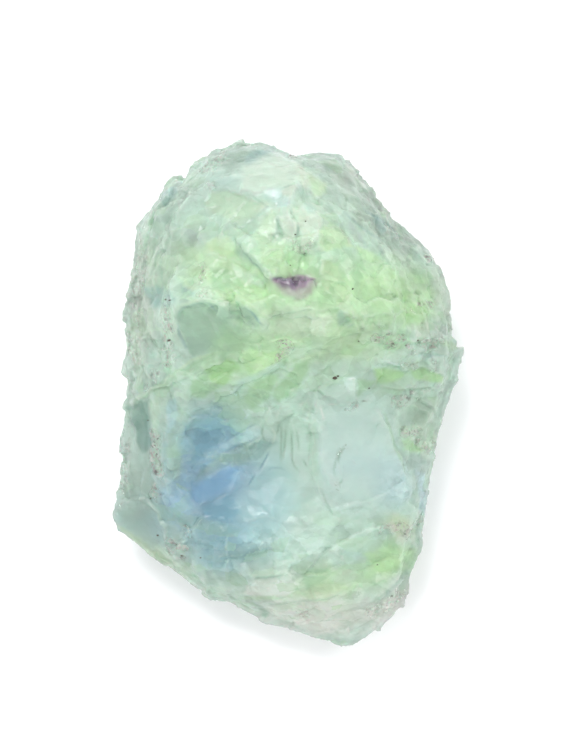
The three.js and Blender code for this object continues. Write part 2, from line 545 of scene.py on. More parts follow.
@dataclass(frozen=True)
class Zone:
    """A cloud of colour inside the stone; a few clouds are painted light or painted shade that even out the
    key light.
    """

    name: str
    tint: Tint
    strength: float
    centre: Place
    radii: Place
    turn: float

    def weight(self, places: np.ndarray) -> np.ndarray:
        """How much of the cloud is at each place, from 0 outside to its strength at its middle."""
        return self.strength * cloud(places, self.centre, self.radii, self.turn)


@dataclass(frozen=True)
class Face:
    """A broken face with its own lean and colour; on a few faces the colour is painted shade."""

    name: str
    tint: Tint
    strength: float
    flat: float
    corners: Path
    soft: float = 1.2

    def weight(self, places: np.ndarray, soft: float) -> np.ndarray:
        """How far each place is on the face.

        Args:
            places: Places seen from above, in millimetres.
            soft: How wide the face's edge is, in millimetres.

        Returns:
            From 0 off the face to 1 on it.
        """
        found = np.zeros(len(places))
        rows = nearby(places, self.corners, soft)
        found[rows] = ramp(-soft, soft, inside(places[rows], self.corners))
        return found

    def flatten(self, skin: Skin, places: np.ndarray) -> None:
        """Draws the surface towards the face's own plane.

        Args:
            skin: The surface, which changes.
            places: Where each point counts as being.
        """
        share = self.weight(places, FACE_EDGE) * ramp(*FACE_LEAN, skin.normals[:, 2])
        rows = np.flatnonzero(share > FACE_LEAST)
        core = rows[share[rows] > FACE_CORE]
        if len(core) < FACE_FEWEST:
            return
        table = np.concatenate([skin.points[core, :2], np.ones((len(core), 1))], axis=1)
        plane = np.linalg.lstsq(table, skin.points[core, 2], rcond=None)[0]
        level = skin.points[rows, :2] @ plane[:2] + plane[2]
        pull = np.clip(level - skin.points[rows, 2], -FACE_PULL, FACE_PULL)
        skin.points[rows, 2] += share[rows] * self.flat * pull


@dataclass(frozen=True)
class Ledge:
    """A step in the break: the stone is higher on the left of the path and sinks back with distance."""

    name: str
    rise: float
    fade: float
    path: Path

    def relief(self, places: np.ndarray) -> np.ndarray:
        """How far the ledge lifts each place, in millimetres."""
        lift = np.zeros(len(places))
        rows = nearby(places, self.path, LEDGE_REACH * self.fade)
        side, run, length = along(places[rows], self.path)
        ends = ramp(0.0, LEDGE_END, run) * ramp(0.0, LEDGE_END, length - run)
        step = ramp(-LEDGE_STEP, LEDGE_STEP, side) * np.exp(-np.maximum(side, 0.0) / self.fade)
        lift[rows] = self.rise * step * ends
        return lift


@dataclass(frozen=True)
class Seam:
    """A strip of sugary crystal grain."""

    name: str
    width: float
    strength: float
    path: Path

    def weight(self, places: np.ndarray) -> np.ndarray:
        """How sugary each place is, from 0 off the seam to its strength along its middle."""
        found = np.zeros(len(places))
        rows = nearby(places, self.path, SEAM_EDGE * self.width)
        side = np.abs(along(places[rows], self.path)[0])
        found[rows] = self.strength * (1.0 - ramp(SEAM_CORE * self.width, SEAM_EDGE * self.width, side))
        return found


@dataclass(frozen=True)
class Line:
    """A fine line in the surface: a crack or a hackle, sunk and drawn darker, partly its own colour and
    partly painted shade in the groove, or a bright edge, raised and drawn lighter as a painted highlight.
    Below zero, its depth is a height.
    """

    name: str
    tint: Tint
    strength: float
    width: float
    depth: float
    path: Path

    def weight(self, places: np.ndarray) -> np.ndarray:
        """How far each place is on the line, from 0 beside it to 1 along its middle."""
        found = np.zeros(len(places))
        rows = nearby(places, self.path, self.width)
        side, run, length = along(places[rows], self.path)
        taper = max(LINE_TAPER, LINE_TAPER_SHARE * length)
        ends = ramp(LINE_START, taper, run) * ramp(LINE_START, taper, length - run)
        found[rows] = ends * (1.0 - ramp(LINE_CORE * self.width, self.width, np.abs(side)))
        return found


@dataclass(frozen=True)
class Calm:
    """A stretch where the break is finer, below 1, or coarser, above 1."""

    chips: float
    centre: Place
    radii: Place
    turn: float


@dataclass(frozen=True)
class Chip:
    """One size of break: millimetres across and high, the coarseness where it starts, its tone and lie."""

    kind: Fracture
    size: float
    height: float
    start: float
    tone: float
    turn: float
    seed: int

    def broken(self, points: np.ndarray) -> tuple[np.ndarray, np.ndarray]:
        """Breaks the surface into chips that run long along their lie.

        Args:
            points: Places in millimetres.

        Returns:
            The height at each place and a random number for its chip.
        """
        wide, tall = turned(points, self.turn)
        laid = np.stack([CHIP_STRETCH * wide, tall, points[:, 2]], axis=1)
        return breaks(laid, self.size, self.seed, self.kind)


ZONES: tuple[Zone, ...] = (
    Zone("lime middle", Tint.LIME, 0.75, (1.7, 12.4), (18, 5.4), -8),
    Zone("lime of the upper slope", Tint.LIME_PALE, 0.6, (-7.3, 14.2), (7.2, 3.8), -25),
    Zone("pale slab", Tint.PALE_MINT, 0.7, (-3.7, 23.8), (7, 6.2), 20),
    Zone("milky rosette", Tint.WHITE_MINT, 0.6, (1.1, 20.5), (4.1, 4.6), 0),
    Zone("grey shoulder", Tint.ROUGH_GREY, 0.75, (11.9, 22.6), (8.4, 5), -42),
    # Painted shade: the tip and the left rim face the key light, so their clouds are painted darker to even
    # it out.
    Zone("grey tip", Tint.SAGE, 0.65, (-5.5, 28.9), (5.4, 1.9), 10),
    Zone("grey north west rim", Tint.GREY_GREEN, 0.7, (-14.5, 21.4), (5.4, 2.9), 40),
    Zone("mint left", Tint.GREY_GREEN, 0.45, (-14.5, 16.6), (4.6, 4.8), 0),
    Zone("grey left rim", Tint.ROUGH_GREY, 0.7, (-17.6, 8.8), (2.6, 9), 0),
    Zone("lime right", Tint.LIME, 0.8, (13.1, 12.1), (6.6, 4.1), -10),
    Zone("pale right rim", Tint.PALE_GREY, 0.6, (19.3, 12.4), (1.7, 6.6), 8),
    # Painted light: the band under the crest slopes away from the key light, so it is painted paler lime.
    Zone("band under the crest", Tint.LIME_PALE, 0.8, (4.1, 7), (11.4, 3.1), 0),
    Zone("rough right band", Tint.MINT, 0.6, (14.9, 5.8), (5.8, 3.4), 0),
    Zone("lime of the stripe", Tint.LIME, 0.6, (-5.5, 4), (7.2, 3.1), 22),
    Zone("left wall", Tint.GREY_GREEN, 0.7, (-16.1, -5.6), (3.4, 10.2), 0),
    Zone("blue hollow", Tint.BLUE_PALE, 0.95, (-8.4, -9.6), (6.4, 8.4), 12),
    Zone("blue of the wall", Tint.BLUE_PALE, 0.8, (-12.4, -12.3), (2.2, 3.6), 0),
    Zone("deep blue pocket", Tint.DEEP_BLUE, 0.7, (-9.4, -5.2), (4.4, 4), 0),
    Zone("teal below the hollow", Tint.DEEP_BLUE, 0.7, (-7.1, -17.4), (5.6, 4.2), 0),
    Zone("cyan floor", Tint.CYAN, 0.8, (-1.8, -12.4), (4.2, 6.8), 0),
    Zone("pale floor", Tint.PALE_MINT, 0.7, (3.6, -13.4), (4.8, 7.2), 0),
    Zone("smooth face", Tint.MILK_BLUE, 0.85, (7.7, -7.4), (6, 8.2), 0),
    Zone("sky of the smooth face", Tint.SKY, 0.8, (12.2, -10.2), (3.1, 4.1), 20),
    Zone("sky near the inclusion", Tint.SKY, 0.5, (7.9, -8.3), (2.6, 2.2), 0),
    Zone("right margin", Tint.LEAF_PALE, 0.55, (16.1, -5.6), (2.9, 7.2), 6),
    Zone("sky at the right rim", Tint.SKY, 0.8, (17, -11.6), (1.1, 4.1), 8),
    Zone("corner", Tint.TEAL, 0.5, (-16.9, -15.8), (4.8, 4.3), -30),
    Zone("lime corner margin", Tint.LIME_PALE, 0.5, (-15.1, -20), (6, 1.9), -36),
    Zone("mint toe", Tint.PALE_GREY, 0.6, (1.7, -24.8), (11.4, 4.8), -6),
    Zone("lime toe", Tint.LIME_PALE, 0.7, (5.3, -22.4), (7.4, 2.4), 8),
    Zone("lime patch", Tint.LIME, 0.85, (12.5, -20.2), (3.4, 2.4), 20),
    # Painted light: the toe slopes away from the key light, so its two chalk clouds are painted paler.
    Zone("grey toe", Tint.CHALK, 0.8, (12.2, -25.8), (4.8, 3.1), 38),
    Zone("pale toe", Tint.CHALK, 0.95, (3.4, -26.6), (6.6, 3), 0),
    Zone("yellow grain", Tint.CREAM, 0.85, (13.2, -16.2), (2.6, 1.6), -30),
)

FACES: tuple[Face, ...] = (
    Face("green rim of the tip", Tint.GREY_GREEN, 0.85, 0.5, ((-7, 28.9), (-5.5, 30.1), (-4.1, 30.1),
        (-1.9, 29.3), (-4.1, 28.8), (-5, 27.1), (-6, 26), (-7.2, 25.8), (-7.7, 27)), 0.6),
    Face("dark wedge at the tip", Tint.TEAL, 0.85, 0.7, ((-4.1, 28.9), (-1.3, 29.3), (-1.9, 28.6),
        (-3.5, 27.8), (-4.9, 27.2), (-4.7, 28)), 0.3),
    Face("teal band below the tip", Tint.TEAL, 0.4, 0.3, ((-8.8, 25.3), (-7.7, 26), (-6, 25.7),
        (-5.5, 25.1), (-7.4, 24.1), (-8.6, 24.4)), 0.8),
    Face("upper slab", Tint.WHITE_MINT, 0.6, 0.6, ((-4.9, 27), (-2.2, 27.8), (-0.7, 28.3), (0.5, 27.4),
        (1.7, 25), (-0.8, 24.2), (-3.7, 23.6), (-5.2, 23.9)), 0.6),
    Face("cream edge of the slab", Tint.CREAM, 0.6, 0.4, ((0.5, 27.6), (1.7, 27.2), (2.6, 26), (3, 24.4),
        (2.2, 24), (1.4, 25.8)), 0.5),
    Face("dark corner by the slab", Tint.SAGE, 0.5, 0.3, ((1.4, 28), (3.1, 27.8), (2.9, 26.8),
        (2, 26.9)), 0.5),
    Face("yellow lime face", Tint.LIME_PALE, 0.9, 0.4, ((2.6, 26), (3.8, 25.4), (4.7, 24.6), (4.7, 23.6),
        (3.6, 23.2), (3, 24.1)), 0.5),
    Face("blue facet of the slab", Tint.SKY, 0.4, 0.5, ((-2.2, 24.4), (-0.8, 24.1), (0.5, 22.8), (0.2, 22),
        (-1, 22), (-2.6, 23.2)), 0.5),
    Face("cap of the rosette", Tint.WHITE_MINT, 0.85, 0.8, ((-0.72, 24), (1.08, 24.6), (1.32, 24.12),
        (0.24, 23.28), (-0.48, 23.28)), 0.25),
    Face("dark triangle by the cap", Tint.SAGE, 0.75, 0.6, ((1.3, 24.5), (2.4, 24.1), (3, 22.6),
        (2, 22.4)), 0.35),
    Face("blue chip of the rosette", Tint.CYAN_PALE, 0.75, 0.8, ((2.04, 22.2), (2.88, 22.44), (3.6, 21.84),
        (3.36, 21.24), (2.4, 21.12)), 0.25),
    Face("bright wing", Tint.WHITE_MINT, 0.85, 0.6, ((0.7, 22), (1.7, 21.2), (4.3, 20.6), (4.1, 18.8),
        (2.9, 17.2), (2, 16.8), (1.6, 19.8)), 0.3),
    Face("white wing", Tint.WHITE_MINT, 0.9, 0.8, ((-0.6, 20.64), (1.2, 19.92), (1.08, 18), (0.48, 18.24),
        (-0.12, 19.2)), 0.25),
    Face("right slit", Tint.SAGE, 0.75, 0.3, ((1.2, 19.8), (1.56, 19.68), (1.56, 18), (1.2, 17.76)), 0.2),
    Face("left slit", Tint.SAGE, 0.75, 0.3, ((-0.96, 20.52), (-0.6, 20.52), (-0.12, 18.6), (-0.36, 17.88),
        (-1.08, 18.84)), 0.2),
    Face("fan of the rosette", Tint.LIME_PALE, 0.45, 0.6, ((-3.6, 19.3), (-1.9, 21.6), (-1.2, 21),
        (-1.3, 19.3), (-2, 17.6), (-3.4, 17.5), (-4.3, 18.4)), 0.4),
    Face("foot of the fan", Tint.LIME_PALE, 0.5, 0.6, ((-3.4, 17.5), (-1.2, 17.5), (-0.2, 16.9),
        (-0.5, 15.7), (-1.7, 15), (-2.9, 15.7)), 0.4),
    Face("lower slab", Tint.LIME_PALE, 0.5, 0.6, ((-8.8, 23.8), (-5.5, 23.6), (-2.9, 22.6), (-2.2, 22),
        (-4.3, 20.5), (-5.5, 19.8), (-8.9, 21.5), (-9.8, 22.4)), 0.6),
    Face("foot of the slab", Tint.MINT, 0.5, 0.5, ((-9.8, 22.2), (-5.5, 19.6), (-3.6, 17.2), (-4.9, 17.4),
        (-7.7, 18.6), (-9.6, 18.6), (-10.6, 20.8)), 0.6),
    Face("lime slope", Tint.LIME_PALE, 0.85, 0.5, ((-9.7, 17.4), (-8.2, 18.4), (-6.8, 18.4), (-5.2, 16.7),
        (-6, 16.2), (-8.9, 16.4)), 0.4),
    Face("shade under the lip", Tint.SAGE, 0.8, 0.5, ((-5.8, 17.2), (-3.7, 16), (-1.7, 14.2), (-1.2, 13.4),
        (-2.9, 14.4), (-5, 16), (-6, 16.4)), 0.3),
    Face("bright lime below the rosette", Tint.LIME_PALE, 0.8, 0.6, ((-1.6, 14.5), (-0.5, 15.2), (0.5, 15),
        (0.6, 13.6), (-0.7, 13.3)), 0.3),
    Face("light streak", Tint.PALE_MINT, 0.5, 0.5, ((-6.6, 15.4), (-3.4, 13.7), (-1.9, 13.2), (-2.9, 12.4),
        (-4.3, 12.8), (-5.8, 13.9)), 0.3),
    Face("leaf field", Tint.LEAF, 0.75, 0.6, ((-9.1, 14.5), (-7.2, 14.8), (-5.5, 13.8), (-4.8, 12.8),
        (-6, 12.4), (-8.6, 12.4)), 0.3),
    Face("lime foot", Tint.LIME, 0.75, 0.5, ((-8.6, 12.1), (-4.1, 12.6), (-1.7, 11.6), (-3.4, 10.2),
        (-4.8, 10.2), (-7.2, 11.2)), 0.4),
    Face("bright lime ray", Tint.LIME_PALE, 0.8, 0.4, ((-7.68, 12.24), (-6.84, 11.52), (-5.64, 10.32),
        (-6.12, 9.96), (-6.96, 10.68)), 0.25),
    Face("north west block", Tint.TEAL, 0.8, 0.7, ((-15, 22.56), (-14.88, 24), (-14.16, 24.48),
        (-13.2, 24.48), (-12.84, 23.64), (-14.16, 22.2)), 0.25),
    Face("block beside it", Tint.GREY_GREEN, 0.75, 0.6, ((-13.1, 24.5), (-11.5, 24.8), (-10.4, 24.4),
        (-10.6, 23.6), (-12.7, 23.4)), 0.4),
    Face("first lump", Tint.SAGE, 0.6, 0.5, ((-16.3, 21.5), (-15.8, 22.1), (-15, 22.1), (-15.1, 21.5),
        (-16, 21.1)), 0.3),
    Face("dark hollow by the lump", Tint.SAGE, 0.85, 0.4, ((-17, 20.5), (-16.3, 20.9), (-15.1, 20.8),
        (-15, 20), (-16, 19.4)), 0.4),
    Face("grey left slope", Tint.SAGE, 0.5, 0.5, ((-14.9, 21.2), (-13.9, 21.7), (-12.8, 21.1), (-13, 20),
        (-14.8, 20.3)), 0.4),
    Face("haze at the left", Tint.HAZE, 0.5, 0.3, ((-12, 19.3), (-10.8, 20.2), (-9.6, 19.3), (-9.8, 17.6),
        (-11.3, 17.4)), 0.9),
    Face("cyan bay", Tint.TEAL, 0.85, 0.6, ((-16.9, 12.5), (-15.6, 12.7), (-13.9, 12.2), (-13, 11.2),
        (-13.4, 10.1), (-16.1, 10.2)), 0.4),
    Face("dark ray", Tint.TEAL, 0.65, 0.5, ((-12.36, 12.72), (-11.52, 12.48), (-10.68, 11.64),
        (-10.92, 11.16), (-11.88, 11.52)), 0.25),
    Face("lime ray", Tint.LIME_PALE, 0.75, 0.5, ((-12.6, 13.44), (-11.76, 13.32), (-10.56, 12.36),
        (-10.92, 12)), 0.25),
    # Painted shade: the steep face under the crest turns away from the light and is drawn in darker sage,
    # with its corner and its right side.
    Face("right of the steep face", Tint.SAGE, 0.6, 0.3, ((-7.4, 9.8), (-4.9, 9.9), (-3, 7.9), (-4.4, 7),
        (-7.1, 6.1), (-9, 6)), 1.2),
    Face("steep face under the crest", Tint.SAGE, 0.9, 0.6, ((-13.4, 9.2), (-12.5, 10.2), (-9.6, 11),
        (-6.8, 9.9), (-6.4, 8.6), (-7.8, 6.6), (-11.1, 4.2), (-11.7, 5.5), (-12.9, 7.3)), 0.7),
    Face("sage corner of the steep face", Tint.SAGE, 0.8, 0.6, ((-6.6, 9.72), (-4.68, 10.08), (-3.36, 8.28),
        (-4.32, 8.4), (-5.52, 9)), 0.25),
    Face("foot of the steep face", Tint.LEAF, 0.75, 0.3, ((-7.2, 8), (-4.6, 7), (-3.6, 6.4), (-4.3, 5.4),
        (-7.7, 5.2), (-9.1, 5.2)), 1),
    Face("strip beside the steep face", Tint.PALE_MINT, 0.6, 0.5, ((-13.7, 9), (-13, 8.8), (-12.7, 7.2),
        (-11.3, 4.4), (-12.7, 4.2), (-13.8, 7.1)), 0.3),
    Face("pale stripe", Tint.LEAF, 0.55, 0.4, ((-18.8, -1.3), (-14.8, 1.4), (-11.5, 3.5), (-7.7, 5.2),
        (-6.8, 5.2), (-7.1, 4.2), (-10.3, 2.9), (-13.7, 1.1), (-17, -0.8)), 0.3),
    Face("lime bar", Tint.LIME_DEEP, 0.85, 0.6, ((-9.7, 2.9), (-6.8, 4), (-5.6, 2.8), (-7.2, 1),
        (-8.9, 1.1)), 0.3),
    Face("leaf bar", Tint.LEAF, 0.85, 0.6, ((-11.2, 1.3), (-9.1, 2.6), (-9.4, 1.4), (-7.7, 0.8),
        (-9.6, -0.6), (-11, -0.6)), 0.3),
    Face("bright lime face", Tint.LIME, 0.95, 0.7, ((-5.52, 4.32), (-4.32, 5.04), (-0.96, 5.04),
        (-0.48, 4.44), (-2.16, 2.76), (-3.36, 1.8), (-4.32, 2.04)), 0.25),
    Face("pale patch on the lime", Tint.LIME_PALE, 0.7, 0.4, ((-3.6, 3.7), (-2.2, 4.2), (-2.9, 3.2),
        (-3.8, 2.6)), 0.3),
    Face("cyan edge", Tint.CYAN_PALE, 0.8, 0.3, ((-7.68, -0.84), (-4.56, 1.92), (-0.6, 3.72), (-0.24, 3),
        (-4.8, 1.08), (-6.96, -0.96)), 0.25),
    Face("green slope", Tint.LEAF, 0.85, 0.4, ((-5.2, -0.6), (-4.3, 0.8), (-1.7, 2.5), (-1, 2.3),
        (-1.9, -0.4), (-4.1, -2)), 0.4),
    Face("valley face", Tint.LEAF, 0.9, 0.6, ((-1.7, -0.1), (0.2, 2.3), (1.4, 3.7), (2.8, 4), (2.6, 2),
        (0.7, -0.4), (-0.7, -1.1)), 0.4),
    Face("mint below the crest", Tint.PALE_MINT, 0.6, 0.4, ((-0.2, 4.9), (2.9, 6.4), (4.3, 6.2), (3.8, 4.9),
        (0.7, 4)), 0.4),
    Face("sheet under the crest", Tint.WHITE_MINT, 0.75, 0.5, ((-2.6, 7.4), (-1.2, 9.5), (2.9, 10.1),
        (5.3, 8.8), (4.4, 6.8), (1.2, 6.6))),
    Face("lime brink", Tint.LIME_PALE, 0.6, 0.4, ((-3.7, 9.5), (-2.9, 8.8), (-1, 9.7), (-1.9, 10.2)), 0.4),
    Face("pale rim of the shoulder", Tint.WHITE_MINT, 0.5, 0.4, ((6.5, 28), (8.4, 26.5), (10.1, 24.4),
        (9.1, 24.4), (7.4, 26.3)), 0.3),
    Face("dark sliver of the shoulder", Tint.SAGE, 0.8, 0.3, ((8.4, 26.64), (9.72, 25.44), (10.08, 24.48),
        (8.76, 25.92)), 0.2),
    Face("blue shoulder", Tint.PALE_GREY, 0.6, 0.4, ((5.4, 27.4), (7.7, 25.8), (9.1, 23.5), (7.7, 23.4),
        (5.5, 25.6)), 0.9),
    Face("grey shoulder", Tint.GREY_GREEN, 0.85, 0.5, ((2.4, 28), (5.8, 28), (5.5, 26.5), (4.8, 25.6),
        (2.9, 26.5)), 0.6),
    Face("dark knob", Tint.SAGE, 0.95, 0.7, ((13.44, 20.4), (14.16, 20.28), (14.64, 19.44), (14.04, 18.84),
        (13.32, 19.2)), 0.25),
    Face("round knob", Tint.TEAL, 0.75, 0.7, ((10.2, 21.24), (11.04, 21.48), (11.76, 20.52), (11.76, 19.44),
        (11.04, 19.08)), 0.25),
    Face("pale web", Tint.GREY_GREEN, 0.6, 0.2, ((11.04, 21.72), (12, 21.36), (13.2, 18.84), (12.6, 18.6),
        (12, 20.04)), 0.25),
    Face("haze of the shoulder", Tint.HAZE, 0.6, 0.3, ((7.3, 20.6), (8.9, 18.8), (9.5, 17.5), (8.6, 17),
        (7.3, 19.4)), 0.3),
    Face("upper lime chip", Tint.LIME_PALE, 0.85, 0.7, ((4.32, 19.8), (5.28, 19.92), (6.96, 18.84),
        (7.92, 17.16), (4.8, 16.8), (3.84, 17.16)), 0.25),
    Face("bright chip", Tint.LIME_PALE, 0.95, 0.8, ((4.32, 15.48), (5.28, 15.72), (6.24, 14.76),
        (6.24, 13.56), (4.56, 11.64), (3.96, 14.04)), 0.25),
    Face("pale edge of the chips", Tint.WHITE_MINT, 0.55, 0.3, ((6.48, 15), (7.2, 15.72), (7.92, 15.72),
        (7.2, 13.32)), 0.25),
    Face("leaf chip", Tint.LEAF, 0.6, 0.6, ((7.68, 14.52), (8.4, 15.72), (9.12, 15.72), (9.24, 14.04),
        (8.64, 12.6), (7.8, 12.6)), 0.25),
    Face("round lime chip", Tint.LIME_PALE, 0.85, 0.7, ((5.52, 12.6), (6.48, 13.2), (7.68, 12.72),
        (7.92, 11.4), (7.2, 10.2), (6, 10.08)), 0.25),
    Face("yellow tongue", Tint.LIME, 0.7, 0.5, ((7.9, 17.2), (9.6, 17.3), (11.3, 15.7), (10.3, 15.2),
        (8.9, 15.7)), 0.3),
    Face("grey facet in the lime", Tint.GREY_GREEN, 0.7, 0.6, ((9.96, 17.16), (11.04, 17.52),
        (12.72, 17.16), (12.48, 16.32), (11.04, 16.32)), 0.25),
    Face("pale leaf facet", Tint.LEAF_PALE, 0.6, 0.6, ((11.5, 16.3), (13.2, 16.9), (14.9, 16.6),
        (14.9, 15.2), (13.4, 15)), 0.3),
    Face("dark facet at the right", Tint.SAGE, 0.65, 0.6, ((14.9, 16.8), (16.1, 17.4), (16.7, 16.4),
        (16.1, 15.6), (15, 15.5)), 0.3),
    Face("right lime", Tint.LIME_DEEP, 0.6, 0.4, ((13.7, 10.4), (15.5, 10.7), (17, 9.7), (16.6, 8.2),
        (14.2, 8)), 0.5),
    Face("pale sheet", Tint.PALE_GREY, 0.65, 0.6, ((14.9, 8.2), (16.6, 8.6), (19.2, 7.6), (18, 6.5),
        (15.5, 6.6)), 0.3),
    Face("dark chip of the crest", Tint.TEAL, 0.55, 0.5, ((6, 9.12), (6.6, 9.48), (7.92, 8.04), (7.2, 7.56),
        (6.24, 8.04)), 0.25),
    Face("chip in the seam", Tint.SAGE, 0.75, 0.6, ((12.96, 7.32), (13.92, 7.56), (14.88, 7.2),
        (15.12, 6.48), (13.2, 6.12)), 0.25),
    Face("lime at the right rim", Tint.LIME, 0.65, 0.4, ((18.5, 5.8), (19.7, 6.2), (20.6, 6),
        (19.9, 5)), 0.3),
    Face("grey ledge", Tint.SKY, 0.5, 0.4, ((14.6, 4.8), (18, 5), (19.2, 4.4), (16.1, 4)), 0.3),
    Face("left lime lens", Tint.LIME_DEEP, 0.85, 0.5, ((10.2, 3.2), (13.4, 2.9), (14.5, 2.4), (12.7, 1.4),
        (10.8, 1.4)), 0.3),
    Face("right lime lens", Tint.LIME_DEEP, 0.75, 0.6, ((14.6, 2.8), (16.6, 3.1), (18.6, 1.8), (18.5, 1.1),
        (15.4, 1.6)), 0.3),
    Face("sage between the lenses", Tint.SAGE, 0.6, 0.5, ((13.2, 3.7), (14.2, 4.2), (15.1, 3.8),
        (14.4, 2.6)), 0.3),
    Face("grey face by the lens", Tint.GREY_GREEN, 0.75, 0.5, ((17.5, 3.4), (19, 4), (20.2, 3.8),
        (19.7, 2.3), (18.5, 2.3)), 0.3),
    Face("square plate", Tint.PALE_MINT, 0.6, 0.85, ((6.84, 1.8), (8.22, 1.8), (8.22, -0.84), (7.44, -1.2),
        (4.8, -0.96), (5.76, 0.36)), 0.2),
    Face("green beside the plate", Tint.LEAF, 0.75, 0.5, ((8.3, 1.6), (10.6, 1.6), (9.1, 0.1),
        (8.4, -0.6)), 0.3),
    Face("smooth face", Tint.MILK_BLUE, 0.6, 0.5, ((3.7, -1.7), (7.9, -1.3), (10.3, -1), (11.9, -2.4),
        (12.5, -4.4), (13.3, -7.4), (14.2, -9.2), (13.1, -11.6), (10.1, -12.8), (7.1, -13.2), (5.4, -12.6),
        (4.4, -9.2)), 2),
    Face("grey block", Tint.GREY_GREEN, 0.8, 0.6, ((13.4, -3), (14.6, -1.8), (16.1, -1.8), (17, -2.5),
        (16.6, -3.7), (13.9, -4)), 0.3),
    Face("lime border", Tint.LIME_DEEP, 0.65, 0.5, ((13.6, -5.4), (14.6, -5.3), (16.6, -6.8), (15.4, -7.2),
        (13.9, -6.7)), 0.3),
    Face("teal border", Tint.GREY_GREEN, 0.85, 0.5, ((12.6, -6.1), (15.1, -7.3), (17.5, -8), (17, -9.5),
        (15.4, -9.5), (13.4, -7.8)), 0.3),
    Face("pale crescent", Tint.CYAN_PALE, 0.6, 0.4, ((6.7, -19.1), (8.2, -18.7), (9.4, -19.2),
        (8.6, -20)), 0.3),
    Face("lime patch", Tint.LIME, 0.85, 0.5, ((9.4, -19.2), (11.8, -18.8), (13.7, -20), (13.2, -21.4),
        (10.8, -21.2)), 0.4),
    Face("leaf hollow", Tint.LEAF, 0.7, 0.4, ((1.7, -21.2), (3.8, -20.8), (5.5, -21.2), (4.6, -23.2),
        (2.4, -23.4)), 0.4),
    Face("lime bank", Tint.LIME_PALE, 0.6, 0.4, ((1.2, -23.6), (5.3, -22.6), (7.7, -23.4), (4.8, -25.1),
        (2.4, -24.6)), 0.4),
    Face("grain facet", Tint.PALE_GREY, 0.6, 0.3, ((5.3, -22), (7.9, -20.8), (8.4, -22.2),
        (7.4, -23.4)), 0.3),
    Face("toe slab", Tint.CHALK, 0.8, 0.7, ((-5.28, -23.88), (-4.08, -22.2), (0.72, -22.2), (1.44, -22.68),
        (0.48, -23.76), (-3.6, -24.36)), 0.25),
    Face("pale chip of the toe", Tint.WHITE_MINT, 0.6, 0.5, ((-1.56, -21.72), (-0.24, -21.24),
        (1.44, -21.36), (0.48, -22.08)), 0.25),
    Face("shade of the toe", Tint.GREY_GREEN, 0.4, 0.5, ((-7, -21.5), (-3.4, -21.7), (-4.6, -22.4),
        (-5.8, -24), (-7, -23.6)), 0.4),
    Face("lime strip of the toe", Tint.LIME, 0.55, 0.3, ((-6, -24.36), (-2.88, -24.24), (0.24, -24.48),
        (-3.12, -24.84)), 0.25),
    Face("dark wedge of the toe", Tint.SAGE, 0.75, 0.4, ((-3.84, -25.2), (-2.88, -25.44), (-2.04, -26.52),
        (-2.64, -27.24)), 0.25),
    Face("toe valley", Tint.TEAL, 0.5, 0.3, ((10.6, -25.3), (12.5, -23.6), (14.6, -21.2), (15, -21.6),
        (12.7, -24.2)), 0.3),
    Face("dark left face", Tint.GREEN_DARK, 0.95, 0.7, ((-19.44, -1.8), (-16.32, -0.96), (-15.96, -3.24),
        (-16.08, -6.36), (-17.04, -7.32), (-17.76, -5.88), (-18.24, -4.44)), 0.25),
    Face("left scallop", Tint.MINT, 0.6, 0.4, ((-19.44, -2.64), (-17.88, -4.68), (-18.24, -6.48),
        (-19.2, -5.64)), 0.25),
    Face("lower left face", Tint.GREY_GREEN, 0.65, 0.6, ((-18.2, -7.1), (-16.3, -8), (-15.6, -9.7),
        (-16.1, -12.4), (-17.5, -11.6)), 0.4),
    Face("pale wall", Tint.LEAF_PALE, 0.6, 0.3, ((-16.1, -1.3), (-14.9, 0), (-15.1, -4.4), (-14.4, -9.7),
        (-15.1, -10.2), (-15.6, -6.8)), 0.3),
    Face("cyan strip", Tint.CYAN, 0.85, 0.4, ((-13.9, -0.7), (-13, -0.4), (-12.7, -2.3), (-13.4, -4.2),
        (-14.3, -5.2)), 0.3),
    Face("grey pocket", Tint.SAGE, 0.65, 0.4, ((-14.4, -6.4), (-13.3, -5.9), (-12.4, -7.3), (-12.7, -10.1),
        (-13.9, -10.1)), 0.4),
    Face("light blue strip", Tint.BLUE_PALE, 0.6, 0.3, ((-12.2, -3.7), (-11.8, -3.7), (-11.5, -9.5),
        (-11, -12.8), (-12, -13.1), (-12.4, -7.6)), 0.3),
    Face("deep blue pocket", Tint.DEEP_BLUE, 0.75, 0.4, ((-11.6, -3.7), (-9.1, -2.9), (-6.7, -3.2),
        (-6.2, -5.2), (-8.9, -6.8), (-10.8, -7.8)), 1.5),
    Face("cyan streak", Tint.CYAN, 0.5, 0.3, ((-9.6, -7.6), (-6.7, -5.6), (-3.4, -4.2), (-2.9, -4.9),
        (-6.5, -6.8)), 0.3),
    # Painted shadow: the dark wedge is the notch under the brow of the hollow, drawn in deep teal.
    Face("dark wedge", Tint.TEAL, 0.95, 0.4, ((-11, -10.4), (-10.3, -8.8), (-7, -7.1), (-2.9, -5.6),
        (-1.4, -5.9), (-3.6, -7.8), (-8.2, -9.2), (-10.6, -11)), 0.35),
    Face("blue haze of the floor", Tint.BLUE_PALE, 0.5, 0, ((-6.4, -8.3), (-3.8, -8.2), (-3.2, -9.4),
        (-4.9, -10.8), (-6.7, -11.6)), 1.2),
    Face("bright blue face", Tint.BLUE, 0.85, 0.6, ((-11.3, -10.6), (-9.8, -9.9), (-6.6, -8.5),
        (-5.4, -9.2), (-6.7, -11.4), (-10.7, -13.4), (-11.3, -11.9)), 0.8),
    Face("slate foot", Tint.DEEP_BLUE, 0.85, 0.3, ((-10.3, -13.8), (-6.2, -11.9), (-5.5, -14),
        (-6.5, -15.5), (-9.6, -15.1)), 0.5),
    Face("blue wall", Tint.BLUE_PALE, 0.55, 0.3, ((-15.1, -11.6), (-14.2, -11), (-13, -14.8),
        (-12.7, -16.4), (-14.2, -15.2)), 0.5),
